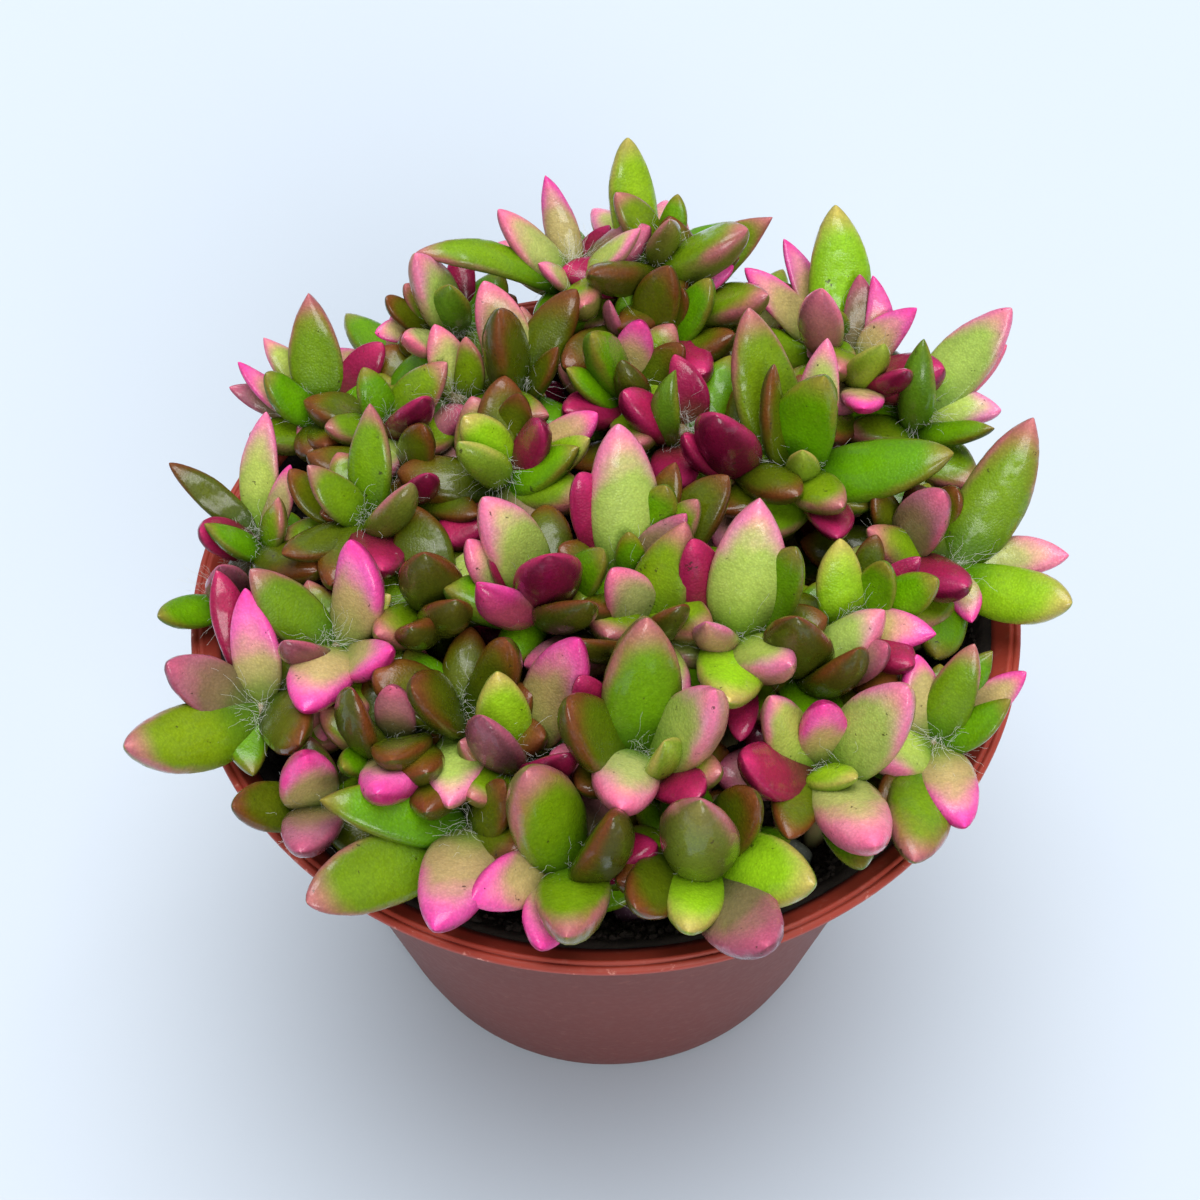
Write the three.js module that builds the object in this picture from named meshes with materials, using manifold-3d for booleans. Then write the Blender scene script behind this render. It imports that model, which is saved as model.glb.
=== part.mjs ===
import * as THREE from 'three';
import { mergeVertices } from 'three/addons/utils/BufferGeometryUtils.js';
import Module from 'manifold-3d';

const wasm = await Module();
wasm.setup();
const { Manifold, Mesh } = wasm;

// Pot, in millimetres, standing on z = 0
const potHeight = 72;
const rimRadius = 52;
const rimBand = 1;
const rimWidth = 2.1;
const ridge = 0.4;
const footRadius = 32.5;
// The wall flares outwards from here up to the rim
const shoulderRadius = 45.9;
const shoulderHeight = 66.6;
const wall = 1.2;
const floorThick = 2;
const drainRadius = 4;
const drainCircle = 19;
const potSides = 48;

// Soil, filling the pot to just under its rim
const soilTop = 62;
const soilGap = 0.35;
const soilSides = 32;
const pebbles = [
  { spot: [362, 872], across: 5.4 },
  { spot: [500, 925], across: 5.2 },
  { spot: [653, 928], across: 7.6 },
  { spot: [796, 905], across: 6.8 },
];

// Stems and leaves
const stemRadius = 1.5;
const stemHole = 2.1;
const stemFoot = 6;
const stemReach = 40;
const stemSpacing = 5;
const stemSides = 6;
const rosetteReach = 5.5;
// Leaves keep off the rim as if it were this far round its own middle
const rimRoom = 1.6;
const leafLongness = 1.9;
const leafThickness = 0.46;
const clearance = 0.36;
const edgeBlend = 0.12;
const snap = 0.01;
// Slimming tried in turn where a fused shoot would pinch itself
const leafEasings = [0, 0.03, 0.07, 0.12, 0.18, 0.25];

// The mound on which the crowns lie
const moundHeight = 14;
const moundRadius = 55;

// Where the reference view is seen from, for places given in its 1200-pixel frame
const sight = { aim: [-0.68, -0.87, 72], range: 264, elevation: 54.35, roll: -0.76, focal: 2100, middle: 600 };

const colours = {
  pot: 0xb5503f,
  soil: 0x1d1a18,
  pebble: 0x6d736d,
  sunLeaf: 0xc9868a,
  shadeLeaf: 0x7f9a3c,
};

// Shoots: crown is the middle of the rosette, lift its height over the mound,
// each leaf has the place of its tip and of its base in the view, and its width in millimetres
const shoots = [
  { crown: [322, 413], lift: 1, leaves: [
    { tip: [309, 293], base: [327, 401], wide: 6.5 },
    { tip: [263, 337], base: [301, 380], wide: 4.0 },
    { tip: [238, 362], base: [289, 421], wide: 3.4 },
    { tip: [266, 373], base: [304, 424], wide: 4.8 },
    { tip: [299, 447], base: [332, 394], wide: 5.0 },
    { tip: [382, 342], base: [350, 400], wide: 4.6 },
    { tip: [229, 387], base: [258, 413], wide: 3.4 },
  ] },
  { crown: [258, 545], lift: 0, leaves: [
    { tip: [266, 411], base: [245, 497], wide: 4.8 },
    { tip: [169, 463], base: [243, 510], wide: 3.6 },
    { tip: [290, 464], base: [263, 534], wide: 3.4 },
    { tip: [279, 497], base: [276, 560], wide: 3.8 },
    { tip: [205, 524], base: [263, 565], wide: 3.8 },
    { tip: [200, 530], base: [240, 535], wide: 5.0 },
  ] },
  { crown: [368, 516], lift: 0, leaves: [
    { tip: [370, 403], base: [373, 503], wide: 5.4 },
    { tip: [307, 465], base: [365, 524], wide: 4.6 },
    { tip: [289, 470], base: [322, 524], wide: 4.4 },
    { tip: [411, 483], base: [383, 544], wide: 5.2 },
    { tip: [282, 555], base: [355, 534], wide: 5.0 },
  ] },
  { crown: [388, 424], lift: 0, leaves: [
    { tip: [363, 367], base: [386, 426], wide: 4.4 },
    { tip: [449, 362], base: [393, 421], wide: 5.8 },
    { tip: [424, 398], base: [414, 428], wide: 5.4 },
  ] },
  { crown: [406, 477], lift: -2, leaves: [
    { tip: [424, 425], base: [414, 466], wide: 5.0 },
    { tip: [467, 485], base: [411, 449], wide: 4.6 },
    { tip: [428, 474], base: [418, 500], wide: 4.2 },
    { tip: [478, 515], base: [430, 508], wide: 4.4 },
  ] },
  { crown: [459, 393], lift: 2, leaves: [
    { tip: [433, 326], base: [454, 388], wide: 4.8 },
    { tip: [466, 337], base: [484, 396], wide: 3.6 },
  ] },
  { crown: [455, 325], lift: 5, leaves: [
    { tip: [415, 253], base: [455, 324], wide: 6.6 },
    { tip: [462, 246], base: [456, 300], wide: 3.8 },
    { tip: [450, 285], base: [452, 325], wide: 5.2 },
    { tip: [375, 332], base: [424, 322], wide: 3.6 },
    { tip: [404, 338], base: [440, 348], wide: 4.4 },
    { tip: [386, 297], base: [378, 332], wide: 3.6 },
    { tip: [405, 284], base: [420, 310], wide: 3.8 },
  ] },
  { crown: [576, 273], lift: 8, leaves: [
    { tip: [498, 210], base: [563, 273], wide: 5.2 },
    { tip: [416, 253], base: [536, 280], wide: 5.4 },
    { tip: [545, 175], base: [553, 222], wide: 4.2 },
    { tip: [609, 225], base: [573, 253], wide: 3.4 },
    { tip: [640, 229], base: [579, 284], wide: 4.6 },
    { tip: [539, 263], base: [571, 284], wide: 3.2 },
  ] },
  { crown: [655, 253], lift: 11, leaves: [
    { tip: [628, 137], base: [630, 228], wide: 6.2 },
    { tip: [616, 192], base: [655, 243], wide: 5.2 },
    { tip: [670, 220], base: [655, 250], wide: 4.6 },
    { tip: [678, 194], base: [673, 243], wide: 3.6 },
  ] },
  { crown: [690, 285], lift: 8, leaves: [
    { tip: [772, 217], base: [683, 266], wide: 5.2 },
    { tip: [734, 266], base: [688, 286], wide: 3.4 },
    { tip: [624, 268], base: [672, 258], wide: 3.6 },
  ] },
  { crown: [650, 335], lift: 3, leaves: [
    { tip: [670, 266], base: [642, 330], wide: 6.2 },
    { tip: [683, 289], base: [675, 330], wide: 4.0 },
    { tip: [711, 279], base: [706, 337], wide: 5.0 },
    { tip: [637, 282], base: [612, 327], wide: 3.6 },
    { tip: [609, 301], base: [573, 335], wide: 3.6 },
  ] },
  { crown: [520, 388], lift: 1, leaves: [
    { tip: [499, 310], base: [512, 391], wide: 7.4 },
    { tip: [484, 281], base: [494, 340], wide: 6.2 },
    { tip: [576, 289], base: [543, 345], wide: 5.6 },
    { tip: [558, 347], base: [528, 401], wide: 3.6 },
  ] },
  { crown: [630, 388], lift: 0, leaves: [
    { tip: [591, 335], base: [617, 381], wide: 6.4 },
    { tip: [566, 368], base: [617, 409], wide: 4.2 },
    { tip: [622, 360], base: [642, 414], wide: 4.2 },
    { tip: [683, 345], base: [642, 376], wide: 4.4 },
    { tip: [640, 322], base: [632, 352], wide: 5.0 },
  ] },
  { crown: [680, 430], lift: -1, leaves: [
    { tip: [676, 370], base: [650, 452], wide: 4.2 },
    { tip: [674, 354], base: [721, 414], wide: 4.6 },
  ] },
  { crown: [500, 470], lift: 0, leaves: [
    { tip: [464, 416], base: [517, 457], wide: 5.4 },
    { tip: [459, 442], base: [510, 483], wide: 5.0 },
    { tip: [520, 394], base: [522, 430], wide: 4.6 },
    { tip: [541, 424], base: [528, 452], wide: 5.2 },
    { tip: [579, 447], base: [515, 490], wide: 5.2 },
    { tip: [598, 414], base: [584, 440], wide: 5.0 },
    { tip: [590, 438], base: [570, 466], wide: 4.4 },
  ] },
  { crown: [630, 575], lift: 1, leaves: [
    { tip: [619, 423], base: [626, 560], wide: 8.4 },
    { tip: [579, 473], base: [609, 552], wide: 6.0 },
    { tip: [686, 514], base: [637, 575], wide: 4.6 },
    { tip: [629, 532], base: [630, 570], wide: 3.4 },
    { tip: [667, 485], base: [648, 530], wide: 5.0 },
    { tip: [697, 500], base: [668, 545], wide: 4.8 },
    { tip: [676, 462], base: [664, 508], wide: 4.6 },
    { tip: [729, 476], base: [690, 526], wide: 6.4 },
  ] },
  { crown: [745, 455], lift: -1, leaves: [
    { tip: [717, 415], base: [728, 462], wide: 7.6 },
    { tip: [684, 436], base: [706, 470], wide: 4.4 },
  ] },
  { crown: [803, 466], lift: 0, leaves: [
    { tip: [749, 308], base: [739, 419], wide: 8.2 },
    { tip: [774, 364], base: [769, 469], wide: 4.6 },
    { tip: [825, 376], base: [802, 459], wide: 8.0 },
    { tip: [827, 338], base: [824, 380], wide: 5.0 },
    { tip: [955, 454], base: [820, 479], wide: 7.8 },
    { tip: [843, 507], base: [800, 484], wide: 5.8 },
    { tip: [802, 450], base: [802, 480], wide: 4.0 },
    { tip: [838, 538], base: [826, 498], wide: 5.4 },
  ] },
  { crown: [838, 335], lift: 5, leaves: [
    { tip: [836, 205], base: [838, 323], wide: 7.6 },
    { tip: [784, 239], base: [787, 270], wide: 4.0 },
    { tip: [761, 278], base: [812, 286], wide: 3.6 },
    { tip: [822, 289], base: [794, 367], wide: 5.8 },
    { tip: [833, 308], base: [843, 334], wide: 3.6 },
    { tip: [856, 362], base: [810, 334], wide: 4.0 },
    { tip: [745, 268], base: [762, 305], wide: 4.2 },
  ] },
  { crown: [866, 370], lift: 4, leaves: [
    { tip: [873, 275], base: [904, 354], wide: 3.6 },
    { tip: [917, 308], base: [853, 354], wide: 4.6 },
    { tip: [860, 274], base: [858, 310], wide: 4.2 },
    { tip: [884, 344], base: [858, 408], wide: 4.8 },
    { tip: [906, 370], base: [884, 402], wide: 4.6 },
    { tip: [864, 408], base: [850, 434], wide: 5.2 },
  ] },
  { crown: [922, 416], lift: 3, leaves: [
    { tip: [1012, 308], base: [936, 366], wide: 6.8 },
    { tip: [1007, 344], base: [950, 374], wide: 4.4 },
    { tip: [1001, 410], base: [935, 405], wide: 5.0 },
    { tip: [924, 339], base: [920, 432], wide: 4.8 },
    { tip: [995, 428], base: [935, 451], wide: 3.4 },
  ] },
  { crown: [953, 570], lift: 0, leaves: [
    { tip: [1034, 418], base: [970, 533], wide: 8.2 },
    { tip: [988, 492], base: [981, 550], wide: 3.2 },
    { tip: [1069, 555], base: [993, 557], wide: 5.2 },
    { tip: [1072, 603], base: [983, 593], wide: 6.6 },
    { tip: [972, 622], base: [962, 566], wide: 4.2 },
  ] },
  { crown: [905, 545], lift: -1, leaves: [
    { tip: [944, 492], base: [904, 540], wide: 6.4 },
    { tip: [876, 487], base: [894, 540], wide: 4.0 },
    { tip: [957, 488], base: [936, 524], wide: 4.6 },
  ] },
  { crown: [735, 635], lift: 1, leaves: [
    { tip: [760, 498], base: [731, 626], wide: 8.8 },
    { tip: [692, 540], base: [704, 612], wide: 5.4 },
    { tip: [796, 548], base: [780, 614], wide: 6.4 },
    { tip: [706, 622], base: [722, 654], wide: 4.6 },
    { tip: [729, 702], base: [738, 646], wide: 7.4 },
    { tip: [740, 742], base: [744, 690], wide: 3.8 },
  ] },
  { crown: [850, 625], lift: 0, leaves: [
    { tip: [840, 539], base: [835, 623], wide: 5.4 },
    { tip: [876, 534], base: [866, 583], wide: 3.8 },
    { tip: [921, 557], base: [884, 567], wide: 3.8 },
    { tip: [937, 634], base: [853, 626], wide: 4.8 },
    { tip: [938, 578], base: [896, 592], wide: 5.2 },
    { tip: [886, 564], base: [868, 604], wide: 4.8 },
  ] },
  { crown: [800, 665], lift: -1, leaves: [
    { tip: [796, 618], base: [800, 666], wide: 7.6 },
    { tip: [858, 649], base: [830, 705], wide: 6.4 },
    { tip: [888, 646], base: [850, 676], wide: 4.6 },
  ] },
  { crown: [940, 745], lift: 0, leaves: [
    { tip: [975, 644], base: [930, 741], wide: 5.0 },
    { tip: [917, 654], base: [922, 733], wide: 5.2 },
    { tip: [1026, 672], base: [980, 700], wide: 4.0 },
    { tip: [1011, 700], base: [945, 748], wide: 4.2 },
    { tip: [878, 807], base: [937, 753], wide: 5.4 },
    { tip: [965, 827], base: [945, 758], wide: 6.0 },
    { tip: [914, 862], base: [906, 806], wide: 7.2 },
    { tip: [993, 651], base: [944, 690], wide: 4.2 },
  ] },
  { crown: [825, 765], lift: 0, leaves: [
    { tip: [908, 687], base: [843, 764], wide: 8.2 },
    { tip: [824, 704], base: [818, 748], wide: 5.4 },
    { tip: [772, 696], base: [800, 748], wide: 5.8 },
    { tip: [856, 779], base: [802, 764], wide: 4.8 },
    { tip: [876, 847], base: [827, 792], wide: 8.0 },
    { tip: [744, 760], base: [790, 782], wide: 6.6 },
    { tip: [788, 838], base: [802, 784], wide: 5.4 },
    { tip: [862, 868], base: [828, 838], wide: 5.6 },
  ] },
  { crown: [640, 752], lift: 1, leaves: [
    { tip: [647, 618], base: [640, 743], wide: 9.0 },
    { tip: [716, 690], base: [680, 752], wide: 8.2 },
    { tip: [566, 704], base: [606, 764], wide: 7.8 },
    { tip: [620, 812], base: [632, 752], wide: 7.2 },
    { tip: [664, 742], base: [660, 778], wide: 5.4 },
    { tip: [578, 676], base: [598, 722], wide: 4.6 },
    { tip: [700, 796], base: [668, 776], wide: 5.4 },
  ] },
  { crown: [514, 752], lift: 0, leaves: [
    { tip: [497, 672], base: [502, 748], wide: 5.8 },
    { tip: [579, 639], base: [543, 713], wide: 7.0 },
    { tip: [482, 716], base: [500, 776], wide: 6.2 },
    { tip: [568, 754], base: [544, 792], wide: 5.2 },
  ] },
  { crown: [540, 590], lift: 1, leaves: [
    { tip: [483, 497], base: [530, 572], wide: 7.0 },
    { tip: [549, 556], base: [544, 600], wide: 7.4 },
    { tip: [604, 551], base: [576, 600], wide: 5.0 },
    { tip: [590, 602], base: [552, 630], wide: 6.0 },
    { tip: [476, 583], base: [527, 629], wide: 5.6 },
    { tip: [468, 540], base: [500, 592], wide: 4.6 },
    { tip: [496, 540], base: [512, 586], wide: 4.4 },
  ] },
  { crown: [640, 630], lift: 0, leaves: [
    { tip: [612, 569], base: [647, 618], wide: 5.6 },
    { tip: [680, 606], base: [650, 642], wide: 5.2 },
    { tip: [578, 640], base: [616, 664], wide: 5.0 },
  ] },
  { crown: [435, 600], lift: -2, leaves: [
    { tip: [424, 554], base: [432, 600], wide: 7.0 },
    { tip: [456, 600], base: [448, 652], wide: 5.6 },
    { tip: [410, 628], base: [428, 664], wide: 5.4 },
  ] },
  { crown: [331, 644], lift: 0, leaves: [
    { tip: [250, 570], base: [330, 639], wide: 6.0 },
    { tip: [351, 540], base: [401, 623], wide: 6.4 },
    { tip: [391, 595], base: [345, 634], wide: 3.8 },
    { tip: [304, 711], base: [345, 644], wide: 7.2 },
    { tip: [392, 650], base: [368, 694], wide: 5.0 },
    { tip: [284, 640], base: [318, 676], wide: 4.6 },
  ] },
  { crown: [255, 710], lift: 0, leaves: [
    { tip: [245, 588], base: [263, 695], wide: 5.6 },
    { tip: [216, 570], base: [238, 630], wide: 4.6 },
    { tip: [168, 664], base: [233, 695], wide: 6.4 },
    { tip: [124, 746], base: [228, 736], wide: 8.0 },
    { tip: [253, 776], base: [228, 703], wide: 5.4 },
    { tip: [300, 744], base: [284, 700], wide: 6.6 },
  ] },
  { crown: [225, 600], lift: -2, leaves: [
    { tip: [160, 622], base: [210, 616], wide: 4.4 },
    { tip: [220, 566], base: [232, 604], wide: 5.0 },
  ] },
  { crown: [315, 815], lift: -1, leaves: [
    { tip: [305, 756], base: [308, 796], wide: 6.4 },
    { tip: [300, 852], base: [324, 812], wide: 6.4 },
    { tip: [232, 806], base: [288, 800], wide: 5.6 },
  ] },
  { crown: [395, 740], lift: -1, leaves: [
    { tip: [352, 690], base: [360, 746], wide: 6.4 },
    { tip: [392, 686], base: [402, 736], wide: 4.6 },
    { tip: [392, 760], base: [424, 736], wide: 6.4 },
    { tip: [374, 800], base: [404, 762], wide: 7.0 },
    { tip: [342, 768], base: [362, 754], wide: 3.8 },
  ] },
  { crown: [460, 720], lift: -1, leaves: [
    { tip: [411, 687], base: [464, 718], wide: 6.8 },
    { tip: [508, 640], base: [496, 694], wide: 5.2 },
    { tip: [448, 806], base: [462, 750], wide: 6.0 },
  ] },
  { crown: [468, 830], lift: 0, leaves: [
    { tip: [322, 794], base: [455, 817], wide: 6.6 },
    { tip: [307, 902], base: [412, 863], wide: 7.6 },
    { tip: [435, 930], base: [468, 843], wide: 8.2 },
    { tip: [506, 784], base: [475, 843], wide: 5.2 },
  ] },
  { crown: [575, 868], lift: 0, leaves: [
    { tip: [526, 770], base: [557, 863], wide: 9.0 },
    { tip: [470, 901], base: [529, 863], wide: 6.0 },
    { tip: [567, 937], base: [583, 876], wide: 8.0 },
    { tip: [614, 816], base: [604, 872], wide: 7.6 },
    { tip: [540, 948], base: [556, 894], wide: 5.4 },
  ] },
  { crown: [705, 858], lift: 0, leaves: [
    { tip: [702, 800], base: [702, 864], wide: 8.8 },
    { tip: [756, 796], base: [732, 842], wide: 6.4 },
    { tip: [815, 885], base: [722, 862], wide: 7.6 },
    { tip: [688, 932], base: [694, 872], wide: 6.2 },
    { tip: [768, 946], base: [716, 906], wide: 8.4 },
    { tip: [636, 908], base: [664, 868], wide: 6.4 },
  ] },
];

// Shoots on the far side, which the view doesn't reach: direction and distance from the pot's axis
const hiddenShoots = [
  { bearing: 64, reach: 42, leaves: 6 },
  { bearing: 128, reach: 42, leaves: 6 },
];

// Leaves of the rearmost crowns that hang out behind the pot, from this far under the crown
const rearCrownFrom = 40;
const rearDrop = 3.5;
const rearLeaves = [
  { turn: -42, rise: -2, wide: 6 },
  { turn: 2, rise: -8, wide: 6.4 },
  { turn: 44, rise: -2, wide: 5.8 },
];

// How far a leaf seen in the view turns its broad side to the eye
const broadView = 0.9;

function seededRandom(seed) {
  let state = seed;
  return () => {
    state = (state * 16807) % 2147483647;
    return state / 2147483647;
  };
}

const vector = (x, y, z) => new THREE.Vector3(x, y, z);
const radians = THREE.MathUtils.degToRad;

// Axes of the view
const elevation = radians(sight.elevation);
const roll = radians(sight.roll);
const towardsEye = vector(0, -Math.cos(elevation), Math.sin(elevation));
const eye = vector(...sight.aim).addScaledVector(towardsEye, sight.range);
const level = vector(1, 0, 0);
const raised = level.clone().cross(towardsEye.clone().negate());
const viewRight = level.clone().multiplyScalar(Math.cos(roll)).addScaledVector(raised, Math.sin(roll));
const viewUp = raised.clone().multiplyScalar(Math.cos(roll)).addScaledVector(level, -Math.sin(roll));

function sightLine([across, down]) {
  const line = towardsEye.clone().negate();
  line.addScaledVector(viewRight, (across - sight.middle) / sight.focal);
  line.addScaledVector(viewUp, (sight.middle - down) / sight.focal);
  return line.normalize();
}

function moundAt(x, y) {
  return potHeight + moundHeight * (1 - (x * x + y * y) / (moundRadius * moundRadius));
}

// The point where a sight line meets a surface that is given as a height
function meetSurface(spot, height) {
  const line = sightLine(spot);
  let near = 120;
  let far = 420;
  for (let step = 0; step < 40; step += 1) {
    const middle = (near + far) / 2;
    const point = eye.clone().addScaledVector(line, middle);
    if (point.z > height(point.x, point.y)) {
      near = middle;
    } else {
      far = middle;
    }
  }
  return eye.clone().addScaledVector(line, near);
}

// A leaf's tip lies on its sight line, as far from the base as the leaf is long
function tipOf(leaf, base) {
  const line = sightLine(leaf.tip);
  const toBase = base.clone().sub(eye);
  const along = toBase.dot(line);
  const seen = Math.sqrt(Math.max(toBase.lengthSq() - along * along, 0));
  const drop = leaf.tip[1] - leaf.base[1];
  const droop = Math.max(drop, 0) / (Math.hypot(drop, leaf.tip[0] - leaf.base[0]) + 1);
  const long = Math.max(leafLongness * leaf.wide, seen * (1.05 + 0.2 * droop));
  return eye.clone().addScaledVector(line, along - Math.sqrt(long * long - seen * seen));
}

// A leaf that is given by its compass direction and rise instead
function turnedLeaf(top, turn, rise, wide) {
  const flat = vector(Math.cos(turn), Math.sin(turn), 0);
  const outward = flat.clone().multiplyScalar(Math.cos(rise)).setZ(Math.sin(rise));
  const base = top.clone().addScaledVector(flat, 2.4);
  return { base, tip: base.clone().addScaledVector(outward, wide * 2.1), wide };
}

function readShoot(shoot, index) {
  const top = meetSurface(shoot.crown, (x, y) => moundAt(x, y) + shoot.lift);
  const leaves = shoot.leaves.map((leaf) => {
    const met = meetSurface(leaf.base, (x, y) => moundAt(x, y) + shoot.lift);
    const base = met.sub(top).clampLength(0, rosetteReach).add(top);
    return { base, tip: tipOf(leaf, base), wide: leaf.wide, seen: true };
  });
  if (top.y > rearCrownFrom) {
    const bearing = Math.atan2(top.y, top.x);
    rearLeaves.forEach(({ turn, rise, wide }) => {
      const low = top.clone().setZ(top.z - rearDrop);
      leaves.push(turnedLeaf(low, bearing + radians(turn), radians(rise), wide));
    });
  }
  return { name: `shoot-${String(index + 1).padStart(2, '0')}`, top, leaves };
}

// A far-side shoot has its leaves around it by a turn of 137.5 degrees, the upper ones steeper
function turnedShoot(shoot, index) {
  const bearing = radians(shoot.bearing);
  const top = vector(Math.cos(bearing), Math.sin(bearing), 0).multiplyScalar(shoot.reach);
  top.z = moundAt(top.x, top.y) - 3;
  const random = seededRandom(311 + 17 * index);
  const leaves = [];
  for (let order = 0; order < shoot.leaves; order += 1) {
    const turn = bearing + radians(137.5 * order);
    const rise = radians(8 + 8 * order + 8 * random());
    leaves.push(turnedLeaf(top, turn, rise, 5.8 - 0.3 * order + 0.6 * random()));
  }
  return { name: `shoot-${shoots.length + index + 1}`, top, leaves };
}

// Round lumps along a leaf, which stand for it while the leaves make room for each other
const lumps = [
  { along: 0.05, size: 0.25 },
  { along: 0.4, size: 0.33 },
  { along: 0.72, size: 0.26 },
  { along: 0.96, size: 0.12 },
];

function lumpsOf(leaf) {
  return lumps.map(({ along, size }) => ({
    leaf,
    along,
    radius: size * leaf.wide,
    centre: leaf.base.clone().lerp(leaf.tip, along),
  }));
}

// A push moves a leaf freely towards or away from the viewer, and less across the view
function pushLeaf(lump, push) {
  const deep = push.dot(towardsEye);
  const eased = push.clone().multiplyScalar(0.35).addScaledVector(towardsEye, 0.65 * deep);
  lump.leaf.base.addScaledVector(eased, 0.5 * (1 - lump.along));
  lump.leaf.tip.addScaledVector(eased, 0.35 + 0.65 * lump.along);
}

function clearOfPot(lump) {
  const out = Math.hypot(lump.centre.x, lump.centre.y);
  const rimMiddle = rimRadius - rimRoom;
  const off = vector(out - rimMiddle, 0, lump.centre.z - (potHeight - rimRoom));
  const room = rimRoom + 0.6 + lump.radius;
  if (off.length() < room) {
    lump.leaf.tip.z += 0.5 * (room - off.length());
    lump.leaf.base.z += 0.25 * (room - off.length());
  }
  const floor = soilTop + 0.5 + lump.radius;
  if (out < rimMiddle && lump.centre.z < floor) {
    lump.leaf.tip.z += 0.5 * (floor - lump.centre.z);
  }
}

function makeRoom(plants) {
  for (let pass = 0; pass < 60; pass += 1) {
    const all = plants.flatMap((plant) => plant.leaves.flatMap((leaf) => (
      lumpsOf(leaf).map((lump) => ({ ...lump, plant }))
    )));
    for (let one = 0; one < all.length; one += 1) {
      for (let other = one + 1; other < all.length; other += 1) {
        const a = all[one];
        const b = all[other];
        const room = a.radius + b.radius + 0.3;
        if (a.plant !== b.plant && Math.abs(a.centre.x - b.centre.x) < room) {
          const apart = a.centre.clone().sub(b.centre);
          const distance = apart.length();
          if (distance < room && distance > 1e-6) {
            apart.multiplyScalar((0.3 * (room - distance)) / distance);
            pushLeaf(a, apart);
            pushLeaf(b, apart.negate());
          }
        }
      }
    }
    all.forEach(clearOfPot);
  }
}

// Solids
function solidOf(geometry) {
  const bare = geometry.clone();
  bare.deleteAttribute('normal');
  bare.deleteAttribute('uv');
  const joined = mergeVertices(bare, 1e-3);
  const corners = joined.index.array;
  const kept = [];
  for (let at = 0; at < corners.length; at += 3) {
    const [a, b, c] = [corners[at], corners[at + 1], corners[at + 2]];
    if (a !== b && b !== c && c !== a) {
      kept.push(a, b, c);
    }
  }
  return Manifold.ofMesh(new Mesh({
    numProp: 3,
    vertProperties: Float32Array.from(joined.attributes.position.array),
    triVerts: Uint32Array.from(kept),
  }));
}

function geometryOf(solid) {
  const { vertProperties, triVerts } = solid.getMesh();
  const geometry = new THREE.BufferGeometry();
  geometry.setAttribute('position', new THREE.BufferAttribute(vertProperties.slice(), 3));
  geometry.setIndex(Array.from(triVerts));
  return geometry;
}

function meshOf(solid, name, colour, roughness) {
  const geometry = geometryOf(solid);
  geometry.computeVertexNormals();
  const material = new THREE.MeshStandardMaterial({ color: colour, roughness, metalness: 0 });
  const mesh = new THREE.Mesh(geometry, material);
  mesh.name = name;
  return mesh;
}

// A skin over rings of points, closed to a single point at each end
function skin(start, rings, end) {
  const sides = rings[0].length;
  const points = [start, ...rings.flat(), end];
  const last = points.length - 1;
  const faces = [];
  for (let side = 0; side < sides; side += 1) {
    const next = (side + 1) % sides;
    faces.push(0, 1 + next, 1 + side);
    for (let ring = 0; ring < rings.length - 1; ring += 1) {
      const low = 1 + ring * sides;
      const high = low + sides;
      faces.push(low + side, low + next, high + next, low + side, high + next, high + side);
    }
    const top = 1 + (rings.length - 1) * sides;
    faces.push(last, top + side, top + next);
  }
  const geometry = new THREE.BufferGeometry();
  geometry.setAttribute('position', new THREE.Float32BufferAttribute(points.flatMap((p) => p.toArray()), 3));
  geometry.setIndex(faces);
  return solidOf(geometry);
}

// Half of a leaf's section: broad flat top, rounded margins, keeled underside
const section = [[1, 0.08], [0.5, 0.42], [-0.5, 0.42], [-1, 0.08], [0, -0.6]];
const broadLeaf = 5.8;
const broadRings = [
  { along: 0, width: 0.66, thickness: 0.9 },
  { along: 0.45, width: 1.12, thickness: 1.06 },
  { along: 0.8, width: 0.78, thickness: 0.8 },
];
const narrowRings = [
  { along: 0.04, width: 0.74, thickness: 0.95 },
  { along: 0.62, width: 1.1, thickness: 1.05 },
];

// A stem rises from the soil inside the rim, then leans out to its crown
function plantFeet(plants) {
  plants.forEach((plant) => {
    plant.foot = vector(plant.top.x, plant.top.y, soilTop);
  });
  for (let pass = 0; pass < 80; pass += 1) {
    plants.forEach((plant, index) => {
      plants.slice(0, index).forEach((other) => {
        const apart = plant.foot.clone().sub(other.foot);
        const short = stemSpacing - apart.length();
        if (short > 0) {
          apart.setLength(0.5 * short);
          plant.foot.add(apart);
          other.foot.sub(apart);
        }
      });
      const inward = Math.min(1, stemReach / Math.hypot(plant.foot.x, plant.foot.y));
      plant.foot.multiply(vector(inward, inward, 1));
    });
  }
}

function stemBend(plant) {
  return plant.foot.clone().setZ(potHeight + 0.5).lerp(plant.top.clone().setZ(potHeight + 0.5), 0.2);
}

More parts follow.
